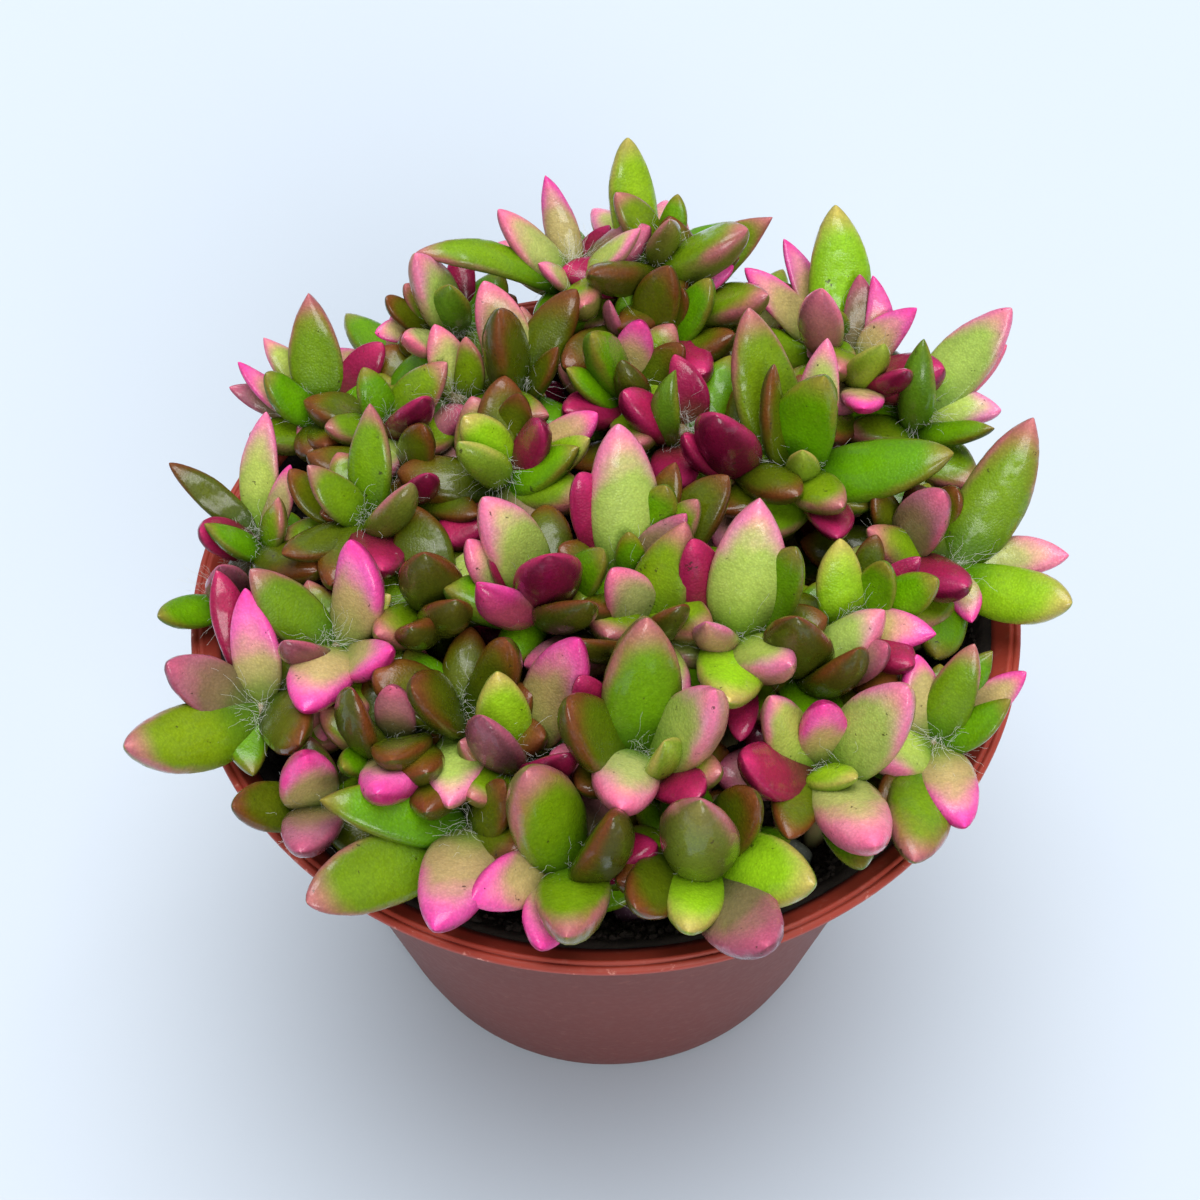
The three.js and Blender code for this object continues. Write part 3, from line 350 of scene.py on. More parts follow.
def meetSurface(spot, height):
    line, near, far = sightLine(spot), 120.0, 420.0
    for step in range(40):
        middle = (near + far) / 2
        point = eye + line * middle
        if point[2] > height(point[0], point[1]):
            near = middle
        else:
            far = middle
    return eye + line * near


def tipOf(reading, base):
    line = sightLine(reading["tip"])
    toBase = base - eye
    along = toBase @ line
    seen = math.sqrt(max(toBase @ toBase - along * along, 0))
    drop = reading["tip"][1] - reading["base"][1]
    droop = max(drop, 0) / (math.hypot(drop, reading["tip"][0] - reading["base"][0]) + 1)
    long = max(mound["leafLongness"] * reading["wide"], seen * (1.05 + 0.2 * droop))
    return eye + line * (along - math.sqrt(long * long - seen * seen))


def turnedLeaf(top, turn, rise, wide, tone):
    flat = np.array([math.cos(turn), math.sin(turn), 0])
    outward = flat * math.cos(rise) + upBy(math.sin(rise))
    base = top + flat * mound["turnedOut"]
    return {"base": base, "tip": base + outward * wide * mound["turnedLongness"], "wide": wide, "tone": tone}


def readShoot(number, shoot):
    def surface(x, y):
        return moundAt(x, y) + shoot["lift"]

    top = meetSurface(shoot["crown"], surface)
    leaves = []
    for reading in shoot["leaves"]:
        offset = meetSurface(reading["base"], surface) - top
        base = top + offset * min(1, mound["rosetteReach"] / max(np.linalg.norm(offset), 1e-6))
        leaves.append({"base": base, "tip": tipOf(reading, base), "wide": reading["wide"],
                       "tone": reading["tone"], "arch": reading["arch"], "read": True})
    if top[1] > rearCrownFrom:
        bearing = math.atan2(top[1], top[0])
        for order, rear in enumerate(rearLeaves):
            tone = ("green", "palePink", "cream")[(number + order) % 3]
            leaves.append(turnedLeaf(top - upBy(rearDrop), bearing + math.radians(rear["turn"]),
                                     math.radians(rear["rise"]), rear["wide"], tone))
    return {"name": "shoot-%02d" % number, "top": top, "leaves": leaves}


def turnedShoot(number, shoot, seed):
    bearing = math.radians(shoot["bearing"])
    top = np.array([math.cos(bearing), math.sin(bearing), 0]) * shoot["reach"]
    top[2] = moundAt(top[0], top[1]) - 3
    state, leaves = seed, []
    for order in range(shoot["leaves"]):
        state = state * 16807 % 2147483647
        first = state / 2147483647
        state = state * 16807 % 2147483647
        second = state / 2147483647
        turn = bearing + math.radians(137.5 * order)
        tone = ("green", "edged", "cream", "hotPink", "lime", "palePink")[order % 6]
        leaves.append(turnedLeaf(top, turn, math.radians(8 + 8 * order + 8 * first),
                                 5.8 - 0.3 * order + 0.6 * second, tone))
    return {"name": "shoot-%02d" % number, "top": top, "leaves": leaves}


def plantFeet(plants):
    for plant in plants:
        plant["foot"] = plant["top"][:2].copy()
    for sweep in range(80):
        for index, plant in enumerate(plants):
            for other in plants[:index]:
                apart = plant["foot"] - other["foot"]
                short = mound["stemSpacing"] - np.linalg.norm(apart)
                if short > 0:
                    apart = unit(apart) * 0.5 * short
                    plant["foot"] += apart
                    other["foot"] -= apart
            plant["foot"] *= min(1, mound["stemReach"] / np.linalg.norm(plant["foot"]))


def stemBend(plant):
    low = np.array([plant["foot"][0], plant["foot"][1], mound["rim"] + 0.5])
    high = np.array([plant["top"][0], plant["top"][1], mound["rim"] + 0.5])
    return low * 0.8 + high * 0.2


# Leaves make room for each other as round lumps along their length, mostly to and from the viewer
lumps = np.array([(0.05, 0.25), (0.4, 0.33), (0.72, 0.26), (0.96, 0.12)])
room = {"between": 0.3, "step": 0.3, "sideways": 0.35, "sightward": 0.65, "overSoil": 0.5, "base": 0.5,
        "tip": (0.35, 0.65), "tipLift": 0.4, "baseLift": 0.2}


def makeRoom(plants, movable, sweeps):
    leaves = [(number, lf) for number, plant in enumerate(plants) for lf in plant["leaves"]]
    owner = np.repeat([number for number, lf in leaves], len(lumps))
    free = np.repeat([float(movable(lf)) for number, lf in leaves], len(lumps))
    wide = np.array([lf["wide"] for number, lf in leaves])
    base = np.array([lf["base"] for number, lf in leaves])
    tip = np.array([lf["tip"] for number, lf in leaves])
    along = np.tile(lumps[:, 0], len(leaves))[:, None]
    radius = (wide[:, None] * lumps[:, 1]).ravel()
    which = np.repeat(np.arange(len(leaves)), len(lumps))
    needed = radius[:, None] + radius[None, :] + room["between"]
    apart = owner[:, None] != owner[None, :]
    for sweep in range(sweeps):
        centre = base[which] + (tip[which] - base[which]) * along
        gap = centre[:, None, :] - centre[None, :, :]
        distance = np.sqrt((gap ** 2).sum(2)) + 1e-9
        short = np.where(apart & (distance < needed), room["step"] * (needed - distance) / distance, 0)
        push = (gap * short[:, :, None]).sum(1) * free[:, None]
        push = push * room["sideways"] + room["sightward"] * (push @ towardsEye)[:, None] * towardsEye
        out = np.hypot(centre[:, 0], centre[:, 1])
        offRim = np.hypot(out - mound["rimMiddle"], centre[:, 2] - (mound["rim"] - mound["rimDrop"]))
        lift = np.clip(mound["rimTube"] + radius - offRim, 0, None) * free
        floor = mound["soilTop"] + room["overSoil"] + radius
        lift += np.where(out < mound["rimMiddle"], np.clip(floor - centre[:, 2], 0, None), 0) * free
        np.add.at(base, which, push * room["base"] * (1 - along))
        np.add.at(tip, which, push * (room["tip"][0] + room["tip"][1] * along))
        np.add.at(tip[:, 2], which, room["tipLift"] * lift)
        np.add.at(base[:, 2], which, room["baseLift"] * lift)
    for (number, lf), low, high in zip(leaves, base, tip):
        lf["base"], lf["tip"] = low, high


# Older leaves low on the stems, which the rosettes half hide: they fill the widest turns left free
underLeaves = {
    "perShoot": 7, "wide": (4.8, 7.0), "rise": (0, 42), "below": (1.0, 4.5), "within": (0.38, 0.62),
    "shortened": (0.7, 0.88), "frontReach": 46, "rearFrom": 15, "rearReach": 50.5, "seed": 5,
}
# Small round leaves, one over the other up each stem
beadLeaves = {
    "perStem": 6, "wide": (3.8, 5.6), "rise": (0, 30), "above": 4, "apart": 2.6, "shortened": 0.62,
    "lowReach": 41, "highReach": 44.5, "highFrom": 67, "underCrown": 2,
}


def addUnderLeaves(plants):
    draw = np.random.default_rng(underLeaves["seed"])
    tones = ("olive olive edged edged green mauve magenta cream olive edged green olive").split()
    for plant in plants:
        turns = [math.atan2(lf["tip"][1] - plant["top"][1], lf["tip"][0] - plant["top"][0])
                 for lf in plant["leaves"]]
        for order in range(underLeaves["perShoot"]):
            around = np.sort(np.array(turns) % (2 * math.pi))
            gaps = np.diff(np.append(around, around[0] + 2 * math.pi))
            widest = int(np.argmax(gaps))
            turn = around[widest] + gaps[widest] * draw.uniform(*underLeaves["within"])
            turns.append(turn)
            wide = draw.uniform(*underLeaves["wide"])
            top = plant["top"] - upBy(draw.uniform(*underLeaves["below"]))
            rise = math.radians(draw.uniform(*underLeaves["rise"]))
            lf = turnedLeaf(top, turn, rise, wide, tones[draw.integers(len(tones))])
            lf["tip"] = lf["base"] + (lf["tip"] - lf["base"]) * draw.uniform(*underLeaves["shortened"])
            atRear = plant["top"][1] >= underLeaves["rearFrom"]
            if np.hypot(*lf["tip"][:2]) < underLeaves["rearReach" if atRear else "frontReach"]:
                plant["leaves"].append({**lf, "extra": True})
        for order in range(beadLeaves["perStem"]):
            turn = draw.uniform(0, 2 * math.pi)
            wide = draw.uniform(*beadLeaves["wide"])
            level = mound["soilTop"] + beadLeaves["above"] + beadLeaves["apart"] * order
            foot = np.array([*plant["foot"], level])
            rise = math.radians(draw.uniform(*beadLeaves["rise"]))
            lf = turnedLeaf(foot, turn, rise, wide, tones[draw.integers(len(tones))])
            lf["tip"] = lf["base"] + (lf["tip"] - lf["base"]) * beadLeaves["shortened"]
            reach = beadLeaves["lowReach" if foot[2] < beadLeaves["highFrom"] else "highReach"]
            if np.hypot(*lf["tip"][:2]) < reach and foot[2] < plant["top"][2] - beadLeaves["underCrown"]:
                plant["leaves"].append({**lf, "extra": True, "bead": True})


plants = [readShoot(number + 1, shoot) for number, shoot in enumerate(shoots)]
plants += [turnedShoot(len(shoots) + 1 + number, shoot, 311 + 17 * number)
           for number, shoot in enumerate(hiddenShoots)]
makeRoom(plants, lambda lf: True, 60)
plantFeet(plants)
addUnderLeaves(plants)
makeRoom(plants, lambda lf: "extra" in lf, 30)
print("shoots placed:", len(plants), "leaves:", sum(len(plant["leaves"]) for plant in plants))


# Materials
def hexColour(text):
    channels = [int(text[at:at + 2], 16) / 255 for at in (1, 3, 5)]
    linear = [c / 12.92 if c <= 0.04045 else ((c + 0.055) / 1.055) ** 2.4 for c in channels]
    return (*linear, 1.0)


# An input takes a plain value, a socket, or a node, which stands for its first socket in use. A pair for From
# or To gives both of its ends
def setInputs(tree, node, inputs):
    for name, value in inputs.items():
        if name in ("From", "To"):
            setInputs(tree, node, {name + " Min": value[0], name + " Max": value[1]})
            continue
        socket = node.inputs[name] if isinstance(name, int) else next(
            one for one in node.inputs if one.name == name and one.enabled)
        if isinstance(value, bpy.types.Node):
            value = next(one for one in value.outputs if one.enabled)
        if isinstance(value, bpy.types.NodeSocket):
            tree.links.new(value, socket)
        else:
            socket.default_value = value


# A node, with its inputs and its settings; a kind without the word Node is a shader node
def addNode(tree, kind, inputs=None, settings=None):
    node = tree.nodes.new(kind if "Node" in kind else "ShaderNode" + kind)
    for name, value in (settings or {}).items():
        setattr(node, name, value)
    setInputs(tree, node, inputs or {})
    return node


# Settings that many nodes share
plus, minus, times, timesPlus = ({"operation": name} for name in ("ADD", "SUBTRACT", "MULTIPLY",
                                                                  "MULTIPLY_ADD"))
colourKind, numberKind, vectorKind = ({"data_type": name} for name in ("RGBA", "FLOAT", "FLOAT_VECTOR"))
smooth = {"interpolation_type": "SMOOTHSTEP"}


# A new material, what adds a node to it, and what feeds its shader
def newMaterial(name, shader):
    material = bpy.data.materials.new(name)
    material.use_nodes = True
    tree = material.node_tree
    bsdf = tree.nodes["Principled BSDF"]
    feed = partial(setInputs, tree, bsdf)
    feed(shader)
    return material, partial(addNode, tree), feed


# Fleshy leaf skin: waxy water-filled cells, grown and not made, so it is satin with wet patches, shows a fine
# frosted grain on the large leaves, and lets some light through. All sizes are in mm; the real skin cells are
# 0.08 mm across, too fine to show, and are drawn 0.3 mm across
leafSkinSizes = {"cell": 0.3, "speck": 0.55, "cloud": 3.6, "wetPatch": 2.6, "fleck": 1.5, "cellDepth": 0.07,
                 "cloudDepth": 0.45}


def makeLeafSkin():
    size = leafSkinSizes
    material, add, feed = newMaterial("fleshyLeafSkin",
                                      {"IOR": 1.4, "Specular IOR Level": 0.26, "Coat IOR": 1.33,
                                       "Coat Roughness": 0.12, "Subsurface Weight": 0.1,
                                       "Subsurface Scale": 0.0011, "Subsurface Radius": (1.0, 0.75, 0.3)})
    place = add("TexCoord").outputs["Object"]
    along, across, upper, blush = (add("Attribute", None, {"attribute_name": name}).outputs["Fac"]
                                   for name in ("along", "acrossUnit", "upper", "blush"))
    tints = {part: add("Attribute", None, {"attribute_name": part + "Colour"}) for part in colourParts}
    cloud, speck, wet = (add("TexNoise", {"Vector": place, "Scale": perMetre / size[name], "Detail": detail})
                         for name, detail in (("cloud", 2.0), ("speck", 2.0), ("wetPatch", 3.0)))
    fleck = add("TexNoise", {"Vector": place, "Scale": perMetre / size["fleck"], "Detail": 4.0,
                             "Roughness": 0.7})
    cells = add("TexVoronoi", {"Vector": place, "Scale": perMetre / size["cell"]}, {"feature": "F1"})
    cloudShift = add("Math", {0: cloud, 1: 0.3, 2: -0.15}, timesPlus)
    across = add("Math", {0: across}, {"operation": "ABSOLUTE"})
    ragged = add("Math", {0: across, 1: cloudShift}, plus)
    # colour climbs from the base to the tip, sooner along the margins than in the middle
    margin = add("Math", {0: across, 1: 2.4}, {"operation": "POWER"})
    outward = add("MapRange", {"Value": along, "From": (0.2, 0.7), "To": (0.0, 0.26)}, smooth)
    spread = add("Math", {0: margin, 1: outward}, times)
    shifted = add("Math", {0: along, 1: cloudShift}, plus)
    reach = add("Math", {0: shifted, 1: spread}, plus)
    blushStart = add("Math", {0: 1.06, 1: blush}, minus)
    blushEnd = add("Math", {0: blushStart, 1: 0.4}, plus)
    # what each part of the skin reads, from where to where, and what it gives there
    masks = {}
    for name, source, reads, gives in (
        ("middle", reach, (0.12, 0.62), (0.0, 1.0)),
        ("high", reach, (blushStart, blushEnd), (0.0, 1.0)),
        ("line", ragged, (0.8, 1.08), (0.0, 0.75)),
        ("lineStart", along, (0.35, 0.85), (0.0, 1.0)),
        ("point", along, (0.82, 1.0), (0.0, 0.75)),
        ("under", upper, (0.05, -0.65), (0.0, 0.85)),
        ("shade", speck, (0.3, 0.7), (0.92, 1.06)),
        # painted light: a painted highlight down the middle of the leaf, painted shade towards its margins
        ("belly", ragged, (0.0, 1.0), (1.14, 0.84)),
        # painted shade: the leaf is darker towards its root, where it lies in the shade of the rosette
        ("root", along, (0.0, 0.42), (0.62, 1.0)),
        ("dirt", fleck, (0.67, 0.695), (0.0, 0.75)),
        ("gloss", wet, (0.42, 0.58), (0.42, 0.24)),
        ("film", wet, (0.44, 0.56), (0.0, 1.0)),
    ):
        masks[name] = add("MapRange", {"Value": source, "From": reads, "To": gives}, smooth)
    # a thin warm line on the margin, broken by the clouds, and the point of the tip
    line = add("Math", {0: masks["line"], 1: masks["lineStart"]}, times)
    masks["edge"] = add("Math", {0: line, 1: masks["point"]}, {"operation": "MAXIMUM"})
    colour = tints["low"]
    for part in colourParts[1:]:
        colour = add("Mix", {"Factor": masks[part], "A": colour, "B": tints[part]}, colourKind)
    # pale grains between the cells, random specks, painted light across the leaf (a painted highlight down the
    # middle, painted shade towards the margins), and painted shade darkening the root, where the leaves hug the
    # stem
    tint = add("MapRange", {"Value": cells, "From": (0.1, 0.7), "To": (1.08, 0.9)})
    for name in ("shade", "belly", "root"):
        tint = add("Math", {0: tint, 1: masks[name]}, times)
    grey = add("CombineColor", {0: tint, 1: tint, 2: tint})
    colour = add("Mix", {"Factor": 1.0, "A": colour, "B": grey}, {**colourKind, "blend_type": "MULTIPLY"})
    # a few brown specks of dirt
    colour = add("Mix", {"Factor": masks["dirt"], "A": colour, "B": hexColour("#2E2414")}, colourKind)
    pebbled = add("Math", {0: cells, 1: -1.0, 2: speck}, timesPlus)
    fine = add("Bump", {"Strength": 0.5, "Distance": size["cellDepth"] * mm, "Height": pebbled})
    broad = add("Bump", {"Strength": 0.3, "Distance": size["cloudDepth"] * mm, "Height": cloud,
                         "Normal": fine})
    feed({"Base Color": colour, "Roughness": masks["gloss"], "Coat Weight": masks["film"], "Normal": broad})
    return material


# Young stem: a soft green shoot, dull, browner in streaks of about 3 mm
def makeStemSkin():
    material, add, feed = newMaterial("youngStem", {"Roughness": 0.55, "Subsurface Weight": 0.1,
                                                    "Subsurface Scale": 0.001})
    place = add("TexCoord").outputs["Object"]
    streak = add("TexNoise", {"Vector": place, "Scale": perMetre / 3.3, "Detail": 3.0})
    colour = add("Mix", {"Factor": streak, "A": hexColour("#6E7C48"), "B": hexColour("#8E6A52")}, colourKind)
    feed({"Base Color": colour})
    return material


# Moulded polypropylene, brick red: injection moulded with the colour in the plastic, so it is satin and even,
# with faint flow clouds, a fine mould grain, dust, and pale nicks on the lip. Sizes in mm; the mould grain of
# 0.2 mm is too fine to show and is drawn 1.1 mm across
potSkinSizes = {"flow": 22, "nick": 1.9, "grain": 1.1, "grainDepth": 0.08, "wallEnds": 70.2,
                "rimStarts": 70.9}


def makePotPlastic():
    size = potSkinSizes
    material, add, feed = newMaterial("mouldedPolypropylene",
                                      {"IOR": 1.45, "Specular IOR Level": 0.35, "Subsurface Weight": 0.04,
                                       "Subsurface Scale": 0.001})
    place = add("TexCoord").outputs["Object"]
    flow = add("TexNoise", {"Vector": place, "Scale": perMetre / size["flow"], "Detail": 4.0})
    grain = add("TexNoise", {"Vector": place, "Scale": perMetre / size["grain"], "Detail": 3.0})
    height = add("SeparateXYZ", {"Vector": place}).outputs["Z"]
    # painted light and shade: the top of the rim is painted lighter, as if lit from above, and the wall below
    # it darker, as if in shade
    rimPart = add("MapRange", {"Value": height, "From": (size["wallEnds"] * mm, size["rimStarts"] * mm)},
                  smooth)
    wall = add("Mix", {"Factor": flow, "A": hexColour("#62241B"), "B": hexColour("#702D23")}, colourKind)
    rim = add("Mix", {"Factor": flow, "A": hexColour("#983628"), "B": hexColour("#A84434")}, colourKind)
    colour = add("Mix", {"Factor": rimPart, "A": wall, "B": rim}, colourKind)
    nick = add("TexNoise", {"Vector": place, "Scale": perMetre / size["nick"], "Detail": 5.0,
                            "Roughness": 0.7})
    nick = add("MapRange", {"Value": nick, "From": (0.58, 0.68), "To": (0.0, 0.75)}, smooth)
    wear = add("Attribute", None, {"attribute_name": "edgeWear"}).outputs["Fac"]
    worn = add("Math", {0: nick, 1: wear}, times)
    colour = add("Mix", {"Factor": worn, "A": colour, "B": hexColour("#E3A090")}, colourKind)
    dust = add("MapRange", {"Value": grain, "From": (0.56, 0.72), "To": (0.0, 0.04)}, smooth)
    colour = add("Mix", {"Factor": dust, "A": colour, "B": hexColour("#C9A79A")}, colourKind)
    gloss = add("MapRange", {"Value": grain, "From": (0.3, 0.7), "To": (0.44, 0.5)}, smooth)
    bump = add("Bump", {"Strength": 0.03, "Distance": size["grainDepth"] * mm, "Height": grain})
    feed({"Base Color": colour, "Roughness": gloss, "Normal": bump})
    return material


# Damp peat mix: milled moss and grit, near black and matt, its crumbs 1 to 2 mm across
def makePeat():
    material, add, feed = newMaterial("dampPeat", {"Roughness": 0.9, "Specular IOR Level": 0.25})
    place = add("TexCoord").outputs["Object"]
    crumb = add("TexNoise", {"Vector": place, "Scale": perMetre / 1.4, "Detail": 4.0})
    colour = add("Mix", {"Factor": crumb, "A": hexColour("#0D0A08"), "B": hexColour("#251D17")}, colourKind)
    bump = add("Bump", {"Strength": 0.8, "Distance": 0.6 * mm, "Height": crumb})
    feed({"Base Color": colour, "Normal": bump})
    return material


# River pebble: water-worn stone, damp and half matt, clouded over 4 mm, with grains of 0.5 mm
def makePebbleStone(name, dark, pale):
    material, add, feed = newMaterial(name, {"Roughness": 0.5})
    place = add("TexCoord").outputs["Object"]
    cloud = add("TexNoise", {"Vector": place, "Scale": perMetre / 4, "Detail": 5.0})
    colour = add("Mix", {"Factor": cloud, "A": hexColour(dark), "B": hexColour(pale)}, colourKind)
    grain = add("TexNoise", {"Vector": place, "Scale": perMetre / 0.5, "Detail": 2.0})
    grain = add("MapRange", {"Value": grain, "From": (0.6, 0.7), "To": (0.0, 0.5)}, smooth)
    colour = add("Mix", {"Factor": grain, "A": colour, "B": hexColour("#B9BDB2")}, colourKind)
    feed({"Base Color": colour})
    return material


# Cobweb hair of the leaf axils: dry silk, white and partly see-through, too thin for a pattern
def makeHairSilk():
    material, add, feed = newMaterial("axilHair", {"Roughness": 0.5, "Alpha": 0.75})
    feed({"Base Color": hexColour("#F2F2EC")})
    return material


# Pale painted floor, matt and without a pattern
def makeFloorPaint():
    material, add, feed = newMaterial("paleFloor", {"Roughness": 0.75})
    feed({"Base Color": hexColour("#BFC9D4")})
    return material


leafSkin = makeLeafSkin()
stemSkin = makeStemSkin()
potPlastic = makePotPlastic()
peat = makePeat()
greyPebble = makePebbleStone("greyRiverPebble", "#3E4540", "#8C948A")
purplePebble = makePebbleStone("purpleRiverPebble", "#2C1B26", "#5A3A4C")
hairSilk = makeHairSilk()
print("materials made")

# Half width and thickness of a leaf are shares of its width, bow and sway are shares of its length
leafForm = {
    "rings": 20, "around": 18, "widest": 0.5, "half": 0.55, "halfBroad": 0.525, "broadFrom": 8,
    "thickness": 0.6, "plump": 0.72, "bow": 0.1, "sway": 0.05, "shown": 0.9, "twist": 9, "wobble": 0.0005,
    "wobbleScale": 170.0, "seed": 11,
}


def newMeshObject(name, mesh):
    thing = bpy.data.objects.new(name, mesh)
    bpy.context.collection.objects.link(thing)
    return thing


# One leaf as a closed skin of rings, which carries where each point lies along, across and through it
def makeLeafPattern():
    rings, around, widest = leafForm["rings"], leafForm["around"], leafForm["widest"]
    rows, faces = [], []
    for ring in range(rings + 1):
        along = 0.5 - 0.5 * math.cos(math.pi * (0.06 + 0.94 * ring / rings))
        low, high = max(0, (widest - along) / widest), max(0, (along - widest) / (1 - widest))
        body = 1 - 0.66 * low ** 2.1
        sharp, blunt = body * (1 - high ** 2.2) ** 0.96, body * (1 - high ** 3.4) ** 0.62
        deep = (1 - 0.5 * low ** 2) * (1 - high ** 2.6) ** 0.62
        for step in range(around):
            turn = 2 * math.pi * step / around
            x, z = math.cos(turn), math.sin(turn)
            x = math.copysign(abs(x) ** 0.9, x)
            z = 0.42 * abs(z) ** 0.92 if z > 0 else -0.58 * abs(z) ** 1.05
            rows.append((along, x * sharp, x * blunt, z * deep, x, math.sin(turn)))
    for ring in range(rings):
        for step in range(around):
            low, nextLow = ring * around + step, ring * around + (step + 1) % around
            faces.append((low, nextLow, nextLow + around, low + around))
    start, end = len(rows), len(rows) + 1
    rows.append((0.0, 0, 0, 0, 0, 0))
    rows.append((1.0, 0, 0, 0, 0, 0.5))
    for step in range(around):
        faces.append((start, (step + 1) % around, step))
        last = rings * around
        faces.append((end, last + step, last + (step + 1) % around))
    mesh = bpy.data.meshes.new("leafPattern")
    mesh.from_pydata([(row[1] * 0.01, row[0] * 0.02, row[3] * 0.01) for row in rows], [], faces)
    columns = np.array(rows, np.float32)
    for at, name in enumerate(("along", "sharpWide", "bluntWide", "through", "acrossUnit", "upper")):
        mesh.attributes.new(name, "FLOAT", "POINT").data.foreach_set("value", columns[:, at].copy())
    return newMeshObject("leafPattern", mesh)


# A new Geometry Nodes tree, what adds a node to it, and what comes in
def newTree(name, inputs):
    tree = bpy.data.node_groups.new(name, "GeometryNodeTree")
    for label, kind in (("Geometry", "Geometry"), *inputs.items()):
        tree.interface.new_socket(label, in_out="INPUT", socket_type="NodeSocket" + kind)
    tree.interface.new_socket("Geometry", in_out="OUTPUT", socket_type="NodeSocketGeometry")
    add = partial(addNode, tree)
    return tree, add, add("NodeGroupInput").outputs


# Geometry Nodes: a leaf on every point, bent from its root through its middle to its tip
def makeLeafTree():
    tree, add, given = newTree("leavesOnStem", {"Leaf": "Object", "Wobble": "Float", "Wobble scale": "Float",
                                                "Seed": "Int", "Skin": "Material"})
    numbers = {name: add("GeometryNodeInputNamedAttribute", {"Name": name}, numberKind)
               for name in ("along", "sharpWide", "bluntWide", "through", "blunt", "halfWide", "thick",
                            "fold")}
    root, middle, tip, faceTo = (add("GeometryNodeInputNamedAttribute", {"Name": name}, vectorKind)
                                 for name in ("rootAt", "middleAt", "tipAt", "faceTo"))
    pattern = add("GeometryNodeObjectInfo", {"Object": given["Leaf"]})
    placed = add("GeometryNodeInstanceOnPoints", {"Points": given["Geometry"],
                                                  "Instance": pattern.outputs["Geometry"]})
    realised = add("GeometryNodeRealizeInstances", {"Geometry": placed})
    # place on the curve root, middle, tip, and its heading there
    lower = add("Mix", {"Factor": numbers["along"], "A": root, "B": middle}, {"data_type": "VECTOR"})
    upper = add("Mix", {"Factor": numbers["along"], "A": middle, "B": tip}, {"data_type": "VECTOR"})
    centre = add("Mix", {"Factor": numbers["along"], "A": lower, "B": upper}, {"data_type": "VECTOR"})
    ahead = add("VectorMath", {0: upper, 1: lower}, minus)
    heading = add("VectorMath", {0: ahead}, {"operation": "NORMALIZE"})
    whole = add("VectorMath", {0: tip, 1: root}, minus)
    sideways = add("VectorMath", {0: faceTo, 1: whole}, {"operation": "CROSS_PRODUCT"})
    side = add("VectorMath", {0: sideways}, {"operation": "NORMALIZE"})
    face = add("VectorMath", {0: heading, 1: side}, {"operation": "CROSS_PRODUCT"})
    # width between the sharp and the blunt outline, depth from the thickness and the fold
    across = add("Mix", {"Factor": numbers["blunt"], "A": numbers["sharpWide"], "B": numbers["bluntWide"]},
                 numberKind)
    wide = add("Math", {0: across, 1: numbers["halfWide"]}, times)
    bent = add("Math", {0: across, 1: numbers["fold"]}, times)
    cup = add("Math", {0: wide, 1: bent}, times)
    deep = add("Math", {0: numbers["through"], 1: numbers["thick"], 2: cup}, timesPlus)
    outward = add("VectorMath", {0: side, 1: wide, 2: centre}, timesPlus)
    place = add("VectorMath", {0: face, 1: deep, 2: outward}, timesPlus)
    wave = add("TexNoise", {"Vector": place, "W": given["Seed"], "Scale": given["Wobble scale"],
                            "Detail": 1.0}, {"noise_dimensions": "4D"})
    centred = add("VectorMath", {0: wave.outputs["Color"], 1: (0.5, 0.5, 0.5)}, minus)
    shaken = add("VectorMath", {0: centred, 1: given["Wobble"], 2: place}, timesPlus)
    moved = add("GeometryNodeSetPosition", {"Geometry": realised, "Position": shaken})
    rounded = add("GeometryNodeSetShadeSmooth", {0: moved})
    skinned = add("GeometryNodeSetMaterial", {"Geometry": rounded, "Material": given["Skin"]})
    add("NodeGroupOutput", {"Geometry": skinned})
    return tree


def bakeModifiers(thing):
    graph = bpy.context.evaluated_depsgraph_get()
    mesh = bpy.data.meshes.new_from_object(thing.evaluated_get(graph), preserve_all_data_layers=True,
                                           depsgraph=graph)
    mesh.name = thing.name
    old = thing.data
    thing.modifiers.clear()
    thing.data = mesh
    bpy.data.meshes.remove(old)


# What a tree makes of a thing, with the tree's inputs by name
def growFrom(thing, tree, values):
    modifier = thing.modifiers.new(tree.name, "NODES")
    modifier.node_group = tree
    for item in tree.interface.items_tree:
        if item.in_out == "INPUT" and item.name in values:
            modifier[item.identifier] = values[item.name]
    bakeModifiers(thing)


